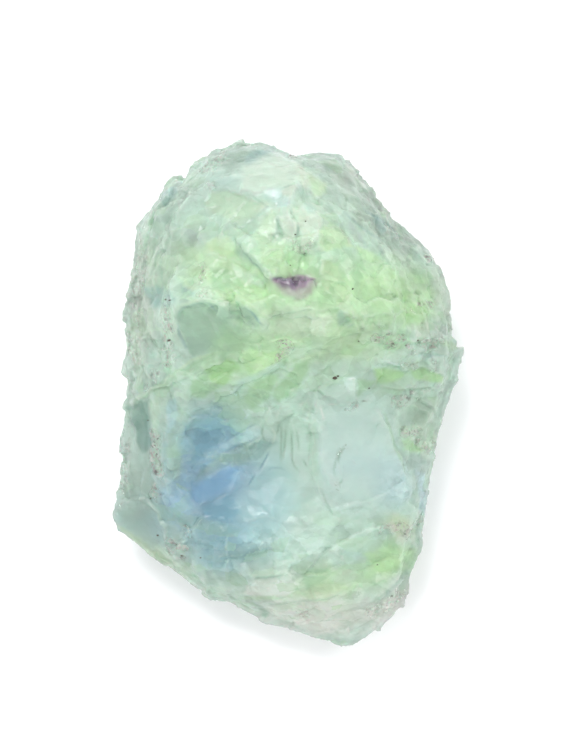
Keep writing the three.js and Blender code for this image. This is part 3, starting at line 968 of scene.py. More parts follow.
    Face("corner face", Tint.GREY_GREEN, 0.55, 0.35, ((-20.4, -13.8), (-19.2, -12.8), (-16.1, -13.3),
        (-15.1, -14.6), (-15.6, -18.1), (-18.2, -17.4), (-20.6, -15.2)), 1.4),
    Face("corner shade", Tint.TEAL, 0.65, 0.3, ((-17.3, -14.3), (-14.9, -14.3), (-14.2, -16.4),
        (-16.1, -18.4), (-17.8, -16)), 1.8),
    Face("lime margin", Tint.LIME_PALE, 0.7, 0.3, ((-20.8, -15.7), (-15.6, -19.1), (-11.5, -22.4),
        (-9.6, -24.4), (-13.2, -22), (-19, -17.6)), 0.3),
    Face("teal foot", Tint.TEAL, 0.75, 0.3, ((-9.4, -19.6), (-6.5, -18.5), (-2.9, -18.6), (-4.3, -20.3),
        (-8.4, -20.8)), 0.9),
    Face("grey of the shoulder", Tint.GREEN_DARK, 0.3, 0, ((6.9, 25), (9.3, 25.6), (12.9, 21.4),
        (15.3, 18.1), (18.3, 14.8), (16.5, 14.2), (12.3, 17.2), (9.3, 20.8))),
    Face("purple fade", Tint.MAUVE, 0.9, 0, ((-1.7, 13.5), (-0.2, 13.8), (1.4, 13.9), (3.2, 13.6),
        (3.6, 12.7), (2.6, 11.3), (1, 10.9), (-0.4, 11.3), (-1.3, 12.4)), 0.6),
    Face("purple pocket", Tint.PURPLE, 1, 0, ((-1.6, 13.5), (0.7, 13.8), (2.6, 13.8), (3.4, 13.2),
        (2.2, 12.4), (0.7, 12), (-0.8, 12.5)), 0.35),
    Face("purple heart", Tint.PURPLE_DARK, 1, 0, ((-1, 13.5), (0.24, 13.7), (1.5, 13.5), (1.3, 12.6),
        (0, 12.4), (-0.9, 12.8)), 0.3),
)

LEDGES: tuple[Ledge, ...] = (
    Ledge("lip of the slab", 0.35, 3, ((-6.7, 19), (-4.9, 16.7), (-3.4, 15.1), (-1.7, 13.4), (0.5, 13.6),
        (2.9, 13.4))),
    Ledge("crest", 0.3, 2.5, ((-13, 9), (-12.1, 10.2), (-9.7, 10.7), (-6.5, 10.8), (-4.3, 10.2), (-2.9, 9),
        (-0.1, 9.2), (2.9, 9.8), (5.9, 9.7), (8.3, 8.6), (11.9, 9.1), (16.3, 9.4))),
    Ledge("notch in the crest", 0.3, 1.2, ((-4.8, 10.3), (-3.6, 9), (-2.5, 7.7))),
    Ledge("foot of the stripe", 0.4, 1, ((-19, -1.9), (-15.1, 0.5), (-11.5, 1.8), (-8.5, 3.4),
        (-6.8, 4.4))),
    Ledge("head of the stripe", 0.3, 1, ((-7.1, 5.2), (-9.7, 3.8), (-12.5, 2.6), (-15.1, 1.2),
        (-16.9, -0.2))),
    Ledge("cyan edge", 0.35, 1.1, ((-9, -1.3), (-5.5, 0.7), (-2.5, 2.5), (0.1, 4.2))),
    Ledge("left wall of the hollow", 0.04, 1.6, ((-10.2, -15.2), (-11, -12.8), (-12, -9), (-11.9, -5.6),
        (-11.9, -2.6), (-13.7, -0.4))),
    Ledge("second wall of the hollow", 0.08, 1, ((-12.5, -18.2), (-13, -15.2), (-13.7, -12.2),
        (-14.4, -9.2), (-14.5, -4.4), (-15.1, -1.4))),
    Ledge("brow of the dark wedge", 0.12, 2, ((-11.3, -10.3), (-10.2, -8.4), (-7.2, -7.4), (-4.8, -6.5),
        (-2.3, -4.9))),
    Ledge("foot of the dark wedge", 0.08, 1.2, ((-1.1, -5.8), (-2.9, -7.7), (-5.5, -8.3), (-8.4, -9.4),
        (-10.3, -10.6))),
    Ledge("foot of the blue face", 0.12, 1.8, ((-10.7, -13.8), (-8.5, -13), (-6.4, -12.1), (-4.7, -10.2))),
    Ledge("edge of the pocket", 0.08, 1, ((-6, -3.4), (-7.7, -2.8), (-9.7, -2), (-11.5, -2.5))),
    Ledge("crease beside the smooth face", 0.28, 1.6, ((3.4, 0.6), (3, -4.4), (3.1, -9), (3.7, -11.6),
        (6, -14.8))),
    Ledge("right edge of the smooth face", 0.35, 1.2, ((14.6, -10.6), (13.9, -8.6), (12.8, -6.2),
        (12.2, -3.8), (10.8, -1.4))),
    Ledge("square plate", 0.3, 2, ((8.2, -1.2), (8.3, 0.4), (8.2, 1.8), (6.7, 1.7))),
    Ledge("ledge over the left lens", 0.4, 0.8, ((10.1, 3.1), (10.9, 3.8), (12.8, 3.6), (14.5, 2.9))),
    Ledge("ledge over the right lens", 0.35, 0.9, ((14.5, 2.6), (16, 3.2), (17.6, 2.6), (19, 1.6))),
    Ledge("upper ledge", 0.35, 0.8, ((10.6, 5.5), (13.1, 6.2), (16.1, 5.8), (19.9, 6.5))),
    Ledge("second ledge", 0.3, 0.7, ((13.2, 4.4), (16.7, 4.9), (20, 4.2))),
    Ledge("third ledge", 0.3, 0.8, ((11, 1), (13.7, 0.4), (16.7, 0.6), (19.4, -0.1))),
    Ledge("right block", 0.3, 0.8, ((13.4, -1.8), (15.1, -1.6), (17, -2.4), (17.3, -3.8))),
    Ledge("toe slab", 0.22, 1.5, ((-5.3, -23.9), (-3.6, -22), (0.5, -21.5), (2.2, -21.6))),
    Ledge("toe step", 0.35, 1.1, ((-4.1, -25.1), (-1.3, -25.3), (1.7, -24.8), (5.3, -24.6), (7.3, -23.6))),
    Ledge("toe ridge", 0.45, 1.3, ((8.9, -26.3), (11.3, -24.6), (13.4, -22.9), (15.8, -21))),
    Ledge("low toe step", 0.3, 0.9, ((1.7, -27.5), (5.3, -27), (7.9, -27.5), (10.3, -26.3))),
    Ledge("corner edge", 0.35, 1.2, ((-14.4, -18.6), (-14.2, -16.2), (-15.1, -13.8), (-16.8, -12.6),
        (-20.2, -12.6))),
    Ledge("slab crack", 0.2, 1.6, ((-9.6, 24.1), (-5.8, 23.6), (-2.9, 22.3), (-1.7, 21.6))),
    Ledge("edge over the blocks", 0.5, 1.4, ((-6.5, 25.8), (-9.6, 24.2), (-13.9, 22.3), (-16.6, 21.1))),
    Ledge("lime brow", 0.3, 1.2, ((8.5, 16.2), (7.4, 18.2), (5.6, 19.7), (4, 19.8))),
    Ledge("shoulder rim", 0.3, 0.8, ((16.6, 16.9), (13.9, 20), (11.9, 22.4), (10.1, 24.2), (8.5, 26.4),
        (7.1, 27.8), (5, 28.7))),
    Ledge("shoulder fold", 0.25, 0.9, ((14.2, 15.7), (11.9, 17.6), (9.6, 19.8), (7.1, 22.4))),
    Ledge("rosette wing", 0.25, 0.7, ((-1.2, 21.5), (-0.1, 22.6), (1.3, 23.4))),
    Ledge("rosette spine", 0.3, 0.6, ((1.3, 18), (1.2, 19.8), (0.5, 21.4), (-0.6, 22.3))),
    Ledge("rosette fan", 0.25, 0.7, ((-0.4, 18.1), (-0.8, 19.7), (-1.4, 21.2))),
    Ledge("rosette brow", 0.3, 0.8, ((2.8, 16.7), (4.1, 18.4), (4.3, 20.5), (2.6, 22.2))),
    Ledge("chip under the rosette", 0.25, 0.8, ((3.7, 13.1), (4.8, 15.6), (6.5, 15))),
    Ledge("lime scarp", 0.25, 0.9, ((-10.3, 15.5), (-8.4, 16.1), (-6, 15.5), (-3.7, 14.5))),
    Ledge("lower lime scarp", 0.25, 0.9, ((-9.1, 12.2), (-7, 11.2), (-4.7, 11.3), (-3.6, 12.6))),
    Ledge("left shelf", 0.3, 0.9, ((-18.7, 5.8), (-16.8, 6.6), (-15.1, 6.1), (-13.9, 7.1))),
    Ledge("lower left shelf", 0.3, 0.9, ((-19, 2.5), (-16.9, 3.5), (-15.4, 3.2), (-13.9, 4))),
    Ledge("left scallop", 0.3, 0.8, ((-19.4, -1.8), (-18.4, -3.2), (-17.9, -5.2), (-18.2, -7.1))),
    Ledge("lower scallop", 0.2, 1, ((-8.9, -20), (-5.5, -19.6), (-1.9, -18.6), (1.1, -19.1))),
    Ledge("arc of the floor", 0.15, 1.2, ((-5.2, -15.8), (-2.9, -15), (-0.1, -15.2), (1.7, -16.2))),
    Ledge("arc near the inclusion", 0.15, 0.9, ((7.1, -7.1), (8.4, -8), (10.3, -8.8))),
    Ledge("inclusion", 0.2, 0.8, ((6.1, -12.4), (6.6, -9.2), (6.4, -6.4))),
)

SEAMS: tuple[Seam, ...] = (
    Seam("seam down the left wall", 0.5, 1, ((-14.4, 9.7), (-14, 7.6), (-13.9, 3.7))),
    Seam("lower seam of the left wall", 0.55, 1, ((-15.7, -5), (-15.4, -8.3), (-15, -10.4),
        (-15.7, -12.8))),
    Seam("left rim", 0.8, 0.5, ((-16.8, 19), (-17.3, 14.8), (-17.8, 11.2), (-18.4, 7), (-18.2, 4))),
    Seam("lower left rim", 0.6, 0.5, ((-19.2, -4.4), (-19.4, -8.6), (-19.8, -11.6), (-20.3, -13.4))),
    Seam("stripe seam", 0.45, 0.9, ((-15.5, 2.5), (-16, 1.4), (-16.4, 0.6))),
    Seam("ledge seam", 0.9, 1, ((11, 6.6), (12.7, 6), (14.6, 5.8))),
    Seam("right ledge seam", 0.7, 0.8, ((16.6, 5.6), (18.2, 5.8))),
    Seam("rough band seam", 0.8, 0.6, ((14.3, 4), (16.1, 3.7), (17.5, 3.2))),
    Seam("block seam", 0.8, 0.7, ((13.2, -1.1), (14.2, -0.7), (14.9, -0.5))),
    Seam("lower block seam", 0.9, 0.7, ((14, -4.9), (15.5, -4.9), (17, -6.1))),
    Seam("crest grain", 0.6, 1, ((-0.6, 5.8), (0.1, 5.4))),
    Seam("cyan edge grain", 0.4, 0.8, ((-2.2, 3.6), (-0.5, 4.7), (0.5, 5.4))),
    Seam("corner grain", 0.7, 1, ((-13.9, -18.2), (-13.1, -18.8), (-12.5, -19.1))),
    Seam("blade grain", 0.4, 0.8, ((-11.9, -16.1), (-11.5, -16.9))),
    Seam("slope grain", 0.35, 0.9, ((-10.2, 14.8), (-9.8, 13.4))),
    Seam("lower slope grain", 0.35, 0.9, ((-10.3, 11.4), (-9.5, 12))),
    Seam("tip grain", 0.5, 0.6, ((-9.7, 26.5), (-8.2, 27.4), (-7.3, 28.4))),
    Seam("block grain", 0.4, 0.6, ((-8.9, 24.7), (-8.8, 24.4))),
    Seam("shoulder grain", 0.5, 0.7, ((11.9, 19.8), (12.5, 19.3), (13.1, 18.8))),
    Seam("sparkle on the shoulder", 0.35, 1, ((16.9, 16.1), (17.2, 15.8))),
    Seam("lime grain", 0.4, 1, ((14.2, 10.3), (14.6, 10.1))),
    Seam("lime grain line", 0.3, 0.8, ((15.8, 10.7), (17.3, 10.4))),
    Seam("yellow grain", 0.8, 0.8, ((12, -16.3), (13.2, -15.7), (14.3, -16.8))),
    Seam("right rim grain", 0.4, 0.6, ((15.4, -15.7), (16.3, -15.2))),
    Seam("plate grain", 0.35, 0.9, ((7.2, -2.3), (7.9, -2.4), (8.2, -1.4))),
    Seam("toe grain", 0.8, 0.5, ((10.3, -26.3), (12.2, -25.6), (13.7, -24.1))),
    Seam("toe tip grain", 0.6, 0.5, ((1.7, -26.3), (2.4, -26.9))),
    Seam("inclusion", 0.4, 0.35, ((6.7, -6.4), (6.2, -9), (5.8, -11.2))),
    Seam("rosette grain", 0.5, 0.5, ((0.5, 17.6), (2, 16.8), (3.1, 17.6))),
    Seam("tip spot", 0.3, 1, ((0.7, 28.2), (1.1, 28.3))),
)

# Dark lines are partly the cracks' own colour and partly painted shade in their grooves; bright lines, with
# depth below zero, are painted highlights on raised edges.
LINES: tuple[Line, ...] = (
    Line("crack under the plate", Tint.DARK_GRAIN, 0.95, 0.17, 0.2, ((8.76, -1.02), (9.12, -0.9),
        (9.72, -0.96))),
    Line("corner of the plate", Tint.DARK_GRAIN, 0.7, 0.15, 0.15, ((8.22, -0.66), (8.4, -1.2), (7.92, -1.8),
        (7.92, -2.16))),
    Line("side of the plate", Tint.LINE_GREEN, 0.6, 0.16, 0.1, ((8.22, 1.68), (8.28, 0.12), (8.22, -0.72))),
    Line("head of the plate", Tint.SUGAR_WHITE, 0.7, 0.2, -0.05, ((6.96, 1.68), (8.16, 1.74))),
    Line("first hackle", Tint.LINE_GREEN, 0.85, 0.23, 0.13, ((-0.62, -3.12), (-0.6, -5.64), (-0.67, -7.44),
        (-0.72, -8.76))),
    Line("second hackle", Tint.LINE_GREEN, 0.85, 0.25, 0.13, ((-0.05, -3.3), (-0.17, -6), (-0.48, -8.04),
        (-0.62, -8.76))),
    Line("third hackle", Tint.LINE_GREEN, 0.9, 0.2, 0.13, ((0.53, -3.2), (0.67, -5.64), (0.72, -7.92),
        (1.01, -8.64), (1.92, -9.72))),
    Line("fourth hackle", Tint.SAGE, 0.75, 0.2, 0.11, ((1.08, -3.68), (1.49, -5.98), (1.54, -7.13))),
    Line("fifth hackle", Tint.LINE_GREEN, 0.85, 0.18, 0.11, ((1.97, -7.8), (2.58, -8.88))),
    Line("sixth hackle", Tint.LINE_GREEN, 0.85, 0.21, 0.12, ((-0.82, -3.3), (-1.01, -4.44),
        (-1.26, -5.16))),
    Line("seventh hackle", Tint.LINE_BLUE, 0.85, 0.21, 0.13, ((-1.86, -6.65), (-2.72, -8.38),
        (-3.25, -9.43))),
    Line("eighth hackle", Tint.LINE_BLUE, 0.75, 0.2, 0.11, ((-3.6, -9.48), (-4.08, -10.32),
        (-4.56, -11.16))),
    Line("ninth hackle", Tint.LINE_GREEN, 0.85, 0.23, 0.12, ((-2.72, -3.4), (-2.92, -4.84), (-2.4, -6.12))),
    Line("bright hackle", Tint.WHITE_MINT, 0.6, 0.2, -0.06, ((-1.96, -3.84), (-1.3, -4.92), (-1.8, -6.36))),
    Line("foot of the hackles", Tint.LINE_BLUE, 0.4, 0.2, 0.06, ((0.24, -9.24), (-0.62, -8.86),
        (-1.68, -8.86), (-2.53, -9.43))),
    Line("first bright hatch", Tint.WHITE_MINT, 0.6, 0.17, -0.06, ((-1.62, -1.44), (-2.16, -2.16),
        (-2.44, -2.82))),
    Line("second bright hatch", Tint.WHITE_MINT, 0.6, 0.17, -0.06, ((-0.66, -1.8), (-0.96, -2.4),
        (-1.2, -3.12))),
    Line("third bright hatch", Tint.WHITE_MINT, 0.6, 0.17, -0.06, ((2.7, -0.36), (2.28, -1.2),
        (1.87, -2.16))),
    Line("fourth bright hatch", Tint.WHITE_MINT, 0.5, 0.17, -0.06, ((2.22, -0.72), (1.62, -1.8))),
    Line("fifth bright hatch", Tint.WHITE_MINT, 0.5, 0.17, -0.06, ((3.24, -0.72), (2.64, -2.28),
        (2.4, -3.72))),
    Line("white scratch", Tint.SUGAR_WHITE, 0.8, 0.2, -0.03, ((3.96, -1.32), (4.2, -2.28), (4.56, -3.36))),
    Line("cross scratch", Tint.SUGAR_WHITE, 0.8, 0.17, -0.03, ((4.8, -1.39), (6, -1.34))),
    Line("line under the inclusion", Tint.LINE_GREEN, 0.6, 0.22, 0.1, ((4.08, -11.16), (4.64, -12.68),
        (5.52, -14.52))),
    Line("left of the inclusion", Tint.LINE_GREEN, 0.5, 0.22, 0.1, ((6.24, -6.12), (6.12, -7.56),
        (5.64, -9), (5.88, -10.44))),
    Line("crack of the inclusion", Tint.LINE_GREEN, 0.8, 0.2, 0.12, ((6.9, -6.2), (6.4, -7.3),
        (6.2, -8.5))),
    Line("foot of the inclusion", Tint.LINE_GREEN, 0.8, 0.2, 0.12, ((6.8, -10.2), (6.1, -11))),
    Line("valley beside the smooth face", Tint.LEAF, 0.45, 0.9, 0.1, ((3, -1.2), (3.2, -6.2), (3.4, -10.2),
        (4.2, -12))),
    Line("brow line of the wedge", Tint.LINE_BLUE, 0.6, 0.2, 0.1, ((-7.68, -6.12), (-6.07, -5.04),
        (-4.44, -4.08), (-2.88, -3.36))),
    Line("second brow line", Tint.LINE_BLUE, 0.55, 0.2, 0.08, ((-7.68, -7.32), (-6.36, -6.55),
        (-5.28, -6.17), (-2.88, -5.16))),
    Line("line of the blue face", Tint.LINE_BLUE, 0.6, 0.18, 0.08, ((-10.8, -13.5), (-8.9, -13),
        (-7.2, -12), (-6.1, -11.7))),
    Line("edge of the dark sliver", Tint.LINE_BLUE, 0.7, 0.25, 0.15, ((-4.61, 10.02), (-3.72, 9.12),
        (-2.64, 7.8))),
    Line("edge of the crest", Tint.LEAF_PALE, 0.75, 0.28, -0.1, ((-13.3, 9.7), (-12.6, 10.3), (-9.6, 10.9),
        (-7.4, 10.4), (-6.4, 9.8), (-4.7, 10.1))),
    Line("light band of the steep face", Tint.LEAF_PALE, 0.6, 0.5, -0.05, ((-6.6, 8.76), (-5.16, 8.04),
        (-3.48, 7.08))),
    Line("line on the steep face", Tint.LINE_BLUE, 0.45, 0.17, 0.05, ((-9.02, 10.56), (-8.52, 9.96),
        (-8.04, 9.42))),
    Line("left foot of the steep face", Tint.LINE_BLUE, 0.55, 0.3, 0.1, ((-12.84, 9), (-12.6, 7.08),
        (-11.4, 4.56))),
    Line("head of the stripe", Tint.LIME_PALE, 0.6, 0.25, -0.06, ((-13.92, 1.74), (-11.1, 3.96),
        (-7.08, 5.1))),
    Line("foot of the stripe", Tint.LINE_GREEN, 0.55, 0.22, 0.06, ((-13.92, 0.84), (-10.8, 2.28),
        (-7.92, 3.72))),
    Line("lip shade", Tint.LINE_GREEN, 0.7, 0.28, 0.1, ((-6.6, 18.84), (-5.16, 17.16), (-3.6, 15.36),
        (-2.16, 13.92), (-1.08, 13.32))),
    Line("slab line", Tint.SAGE, 0.5, 0.2, 0.06, ((-5.4, 23.52), (-4.08, 23.28), (-2.88, 22.44),
        (-1.92, 21.72))),
    Line("rosette line", Tint.LINE_GREEN, 0.5, 0.18, 0.08, ((-1.8, 21.72), (-1.08, 20.64), (-0.84, 19.32),
        (-0.6, 17.88))),
    Line("second rosette line", Tint.LINE_GREEN, 0.5, 0.18, 0.08, ((0.48, 21.48), (1.32, 20.16),
        (1.44, 18.36))),
    Line("third rosette line", Tint.SAGE, 0.6, 0.18, 0.08, ((-0.72, 24), (0.96, 24.6), (1.32, 23.88))),
    Line("brow of the lime", Tint.LINE_GREEN, 0.45, 0.2, 0.08, ((4.92, 19.8), (7.08, 18.72),
        (8.04, 17.28))),
    Line("shoulder line", Tint.LINE_BLUE, 0.35, 0.25, 0.08, ((6, 22.32), (7.68, 20.52), (10.32, 18.6),
        (12.72, 17.52))),
    Line("second shoulder line", Tint.LINE_BLUE, 0.35, 0.25, 0.08, ((7.92, 23.64), (9.6, 21.48),
        (12.24, 20.04), (14.64, 17.52))),
    Line("corner line", Tint.LINE_GREEN, 0.6, 0.2, 0.1, ((-20.16, -12.72), (-17.52, -12.84),
        (-15.36, -14.28), (-14.16, -16.44))),
    Line("toe line", Tint.LINE_GREEN, 0.5, 0.2, 0.08, ((-5.16, -23.76), (-3.6, -22.08), (0.48, -21.6),
        (2.04, -21.48))),
    Line("second toe line", Tint.LINE_GREEN, 0.5, 0.2, 0.08, ((-3.72, -25.08), (-1.32, -25.32),
        (1.68, -24.84), (5.28, -24.6), (7.08, -23.64))),
    Line("third toe line", Tint.SAGE, 0.6, 0.25, 0.1, ((9.24, -25.92), (11.28, -24.48), (13.44, -22.8),
        (15.6, -21.12))),
    Line("lower arc", Tint.SAGE, 0.45, 0.2, 0.05, ((-8.76, -20.16), (-5.52, -19.68), (-1.92, -18.72),
        (1.2, -19.2))),
    Line("upper arc", Tint.SAGE, 0.4, 0.2, 0.05, ((5.28, -14.64), (7.08, -13.8), (9.12, -13.56),
        (11.28, -14.28))),
    Line("right border of the smooth face", Tint.LEAF, 0.6, 0.3, 0.08, ((10.8, -0.96), (11.76, -2.52),
        (12.36, -4.2), (12.96, -6.36), (14.04, -8.76), (14.64, -10.56))),
    Line("head of the left lens", Tint.CYAN_PALE, 0.85, 0.35, -0.08, ((10.8, 3.84), (12.72, 3.48),
        (14.52, 2.88))),
    Line("ledge line", Tint.SAGE, 0.5, 0.25, 0.1, ((10.68, 5.52), (13.08, 6.12), (16.08, 5.64),
        (19.92, 6.36))),
    Line("second ledge line", Tint.SAGE, 0.5, 0.25, 0.1, ((13.68, 4.44), (16.68, 4.92), (19.92, 4.2))),
    Line("third ledge line", Tint.SAGE, 0.5, 0.2, 0.08, ((11.04, 0.72), (13.68, 0.24), (16.68, 0.6),
        (19.44, -0.12))),
)

CALMS: tuple[Calm, ...] = (
    Calm(0.12, (7.9, -6.8), (6.2, 8.6), 0),
    Calm(0.25, (-0.1, -9.8), (5.4, 7.4), 0),
    Calm(0.15, (-8.2, -11.9), (4.1, 3.4), 20),
    Calm(0.6, (-9.6, -5.2), (3.4, 3.2), 0),
    Calm(0.2, (-4.6, -13.4), (3.6, 3.4), 0),
    Calm(0.35, (-16.6, -6.8), (2.6, 7.2), 0),
    Calm(0.2, (-17.5, -15.8), (3.8, 3.4), -30),
    Calm(0.25, (-9.7, 7), (4.8, 3.1), -15),
    Calm(0.4, (-3.7, 24.4), (7.2, 5), 20),
    Calm(0, (0.9, 12.8), (3, 1.6), 0),
    Calm(0.45, (-6.7, 15.7), (4.8, 2.6), -30),
    Calm(1.5, (13.1, 21.4), (6.6, 6.2), -40),
    Calm(1.3, (14.3, 4.6), (6, 4.8), 0),
    Calm(1.4, (12.5, -25.6), (5, 3.6), 35),
    Calm(1.3, (-17.8, 8.8), (2.2, 9.6), 0),
)

CHIPS: tuple[Chip, ...] = (
    Chip(Fracture.SHELL, 4.2, 0.6, 0.0, 0.25, -35, 5),
    Chip(Fracture.FLAKE, 2.6, 0.3, 0.1, 0.4, 30, 31),
    Chip(Fracture.SHELL, 1.3, 0.28, 0.1, 0.3, -60, 67),
    Chip(Fracture.FLAKE, 0.75, 0.1, 0.35, 0.25, 10, 97),
)

# Dark mineral grains in the surface: radius, x and y in millimetres.
GRAINS: tuple[tuple[float, float, float], ...] = (
    (0.32, 5.76, 1.8), (0.16, 6.12, 2.04), (0.13, -14.16, 11.04), (0.15, -13.68, 10.92),
    (0.2, -13.8, 6.24), (0.14, 7.8, 12.24), (0.12, 2.28, 20.16), (0.12, 1.08, 18.6),
    (0.11, 0.48, 15), (0.14, -15.36, -17.04), (0.14, -12.48, -19.44), (0.12, -10.2, -19.68),
    (0.12, 9.84, 0.6), (0.12, 8.52, 6.12), (0.13, 15.6, 6.24), (0.14, 12.72, -24.36),
    (0.12, 10.92, -20.52), (0.13, 14.16, 5.64), (0.12, -16.2, -12.6), (0.12, -16.44, -3.24),
)
PEBBLE_FORM = (1.0, 0.8, 0.6)

# Each picks one of many unlike random patterns.
RAGGED_SEEDS = (101, 131)
CLOUD_SEEDS = (301, 331)
SUGAR_SEED = 211
PATCH_SEED = 401
PEBBLE_SEED = 503

# How edges and clouds drift: each swell's size and reach in millimetres, and its step from the seed.
RAGGED_SWELLS: tuple[Swell, ...] = ((1.9, 0.3, 0), (0.7, 0.15, 7))
CLOUD_SWELLS: tuple[Swell, ...] = ((4.0, 1.1, 0), (1.2, 0.5, 3))


@dataclass(frozen=True)
class MilkyFluorite:
    """Fluorite, broken and never polished: a glassy, milky spar with colour zones inside.

    The breaks shine softly, the body lets light through and glows where it is thin.
    """

    name: str = "fluorite_milky_broken"
    ior: float = 1.434
    transmission: float = 0.62
    roughness: float = 0.13
    satin: Place = (-0.06, 0.08)
    sugar_dull: float = 0.3
    glow_mm: tuple[float, float, float] = (3.4, 4.8, 4.3)
    depth_colour: tuple[float, float, float] = (0.8, 0.93, 0.85)
    depth_density: float = 10.0
    cloud_mm: float = 5.0
    mottle_mm: float = 0.9
    mottle_high_mm: float = 0.04
    flake_mm: float = 1.5
    flake_turn: float = 32.0
    fleck_mm: float = 0.55
    fleck_turn: float = -50.0
    grain_mm: float = 0.24
    unevenness: float = 0.9
    bump: float = 0.32
    flake_light: Place = (-0.06, 0.13)
    fleck_light: Place = (-0.03, 0.07)
    cloud_light: Place = (0.95, 1.05)
    limy: float = 0.3
    milky: float = 0.1
    # Painted highlight on edges and painted shade in creases.
    painted_edge_highlight: float = 0.4
    painted_crease_shade: float = 0.82
    dark_grains: Place = (0.68, 0.74)
    single_grains: Place = (0.42, 0.5)
    dark_share: float = 0.95

    def material(self) -> bpy.types.Material:
        """Makes the material, which reads tint, ridge, coarse and frost from the mesh."""
        made = fresh(self.name)
        tree = made.node_tree
        place = add_node(tree, "ShaderNodeTexCoord", {}, {}).outputs["Object"]
        body = self.stored(tree, "tint")["Color"]
        ridge, coarse, frost = (self.stored(tree, name)["Fac"] for name in ("ridge", "coarse", "frost"))
        milk = noise(tree, place, self.cloud_mm, Detail=3.0, Roughness=0.55)["Fac"]
        mottle = noise(tree, place, self.mottle_mm, Detail=4.0, Roughness=0.6)
        # Uneven places, so that the flakes' edges wander.
        shift = scale(tree, mottle["Color"], self.unevenness * self.mottle_mm * MM)
        uneven = combine(tree, "ADD", place, shift)[0]
        flake, flake_height = self.flakes(tree, uneven, self.flake_mm, self.flake_turn)
        fleck, fleck_height = self.flakes(tree, uneven, self.fleck_mm, self.fleck_turn)
        dice = [
            add_node(tree, "ShaderNodeSeparateColor", {}, {0: colour}).outputs for colour in (flake, fleck)
        ]
        body = self.broken(tree, body, milk, coarse, dice)
        # Painted highlight on the edges and painted shade in the creases.
        body = self.edged(tree, body, ridge)
        body = self.sugared(tree, body, uneven, frost)
        # The breaks are satin to glassy; the sugar is dull.
        satin = tuple(self.roughness + change for change in self.satin)
        gloss = stretch(tree, mottle["Fac"], (0.3, 0.7), satin)
        dull = add_node(
            tree, "ShaderNodeMath", {"operation": "MULTIPLY_ADD", "use_clamp": True},
            {0: frost, 1: self.sugar_dull, 2: gloss},
        ).outputs[0]
        # The flakes lean, so that neighbours catch the light differently; smooth faces have none.
        rise = reckon(tree, "MULTIPLY", reckon(tree, "ADD", flake_height, fleck_height), coarse)
        rise = reckon(tree, "MULTIPLY_ADD", mottle["Fac"], self.mottle_high_mm * MM, rise)
        bump = add_node(tree, "ShaderNodeBump", {}, {"Height": rise, "Strength": self.bump, "Distance": 1.0})
        shader = add_node(
            tree, "ShaderNodeBsdfPrincipled", {"subsurface_method": "RANDOM_WALK"},
            {
                "Base Color": body,
                "Roughness": dull,
                "Normal": bump.outputs["Normal"],
                "IOR": self.ior,
                "Transmission Weight": self.transmission,
                "Subsurface Weight": 1.0,
                "Subsurface Radius": self.glow_mm,
                "Subsurface Scale": MM,
            },
        ).outputs["BSDF"]
        depth = add_node(
            tree, "ShaderNodeVolumeAbsorption", {},
            {"Color": (*self.depth_colour, 1.0), "Density": self.depth_density},
        ).outputs["Volume"]
        add_node(tree, "ShaderNodeOutputMaterial", {}, {"Surface": shader, "Volume": depth})
        return made

    def stored(self, tree: Tree, name: str) -> Any:
        """Reads what the mesh keeps under a name."""
        return add_node(tree, "ShaderNodeAttribute", {"attribute_name": name}, {}).outputs

    def flakes(self, tree: Tree, place: Socket, size_mm: float, turn: float) -> tuple[Socket, Socket]:
        """Lays leaning flakes over the stone.

        Args:
            tree: The material's nodes.
            place: Where each point is.
            size_mm: How wide a flake is; it is twice as long.
            turn: Which way the flakes run, in degrees.

        Returns:
            Each flake's random colour, and how high each point stands, in metres.
        """
        laid = add_node(
            tree, "ShaderNodeMapping", {},
            {"Vector": place, "Rotation": (0.0, 0.0, math.radians(turn)), "Scale": (0.5, 1.0, 1.0)},
        ).outputs["Vector"]
        cell = self.cells(tree, laid, size_mm)
        gap = combine(tree, "SUBTRACT", laid, cell["Position"])[0]
        lean = combine(tree, "SUBTRACT", cell["Color"], (0.5, 0.5, 0.5))[0]
        return cell["Color"], combine(tree, "DOT_PRODUCT", gap, lean)["Value"]

    def cells(self, tree: Tree, place: Socket, size_mm: float) -> Any:
        """Splits the stone into uneven cells of a size in millimetres."""
        links = {"Vector": place, "Scale": 1.0 / (size_mm * MM)}
        return add_node(tree, "ShaderNodeTexVoronoi", {}, links).outputs

    def broken(self, tree: Tree, body: Socket, milk: Socket, coarse: Socket, dice: Sequence[Any]) -> Socket:
        """Makes each break a little lighter or darker, and a little more lime or milky, than the next.

        Args:
            tree: The material's nodes.
            body: The stone's colour.
            milk: How milky each cloud is.
            coarse: How strongly the stone is chipped.
            dice: Random numbers for the large flakes and the small ones.

        Returns:
            The changed colour.
        """
        flake, fleck = dice
        light = stretch(tree, flake[0], (0.0, 1.0), self.flake_light)
        spark = stretch(tree, fleck[0], (0.0, 1.0), self.fleck_light)
        both = reckon(tree, "ADD", light, spark)
        swell = stretch(tree, milk, (0.3, 0.7), self.cloud_light)
        shade = reckon(tree, "MULTIPLY_ADD", both, coarse, swell)
        body = scale(tree, body, shade)
        limy = stretch(tree, reckon(tree, "MULTIPLY", flake[1], coarse), (0.5, 1.0), (0.0, self.limy))
        body = blend(tree, limy, body, Tint.LIME_PALE.paint)
        milky = stretch(tree, reckon(tree, "MULTIPLY", fleck[1], coarse), (0.6, 1.0), (0.0, self.milky))
        return blend(tree, milky, body, Tint.WHITE_MINT.paint)

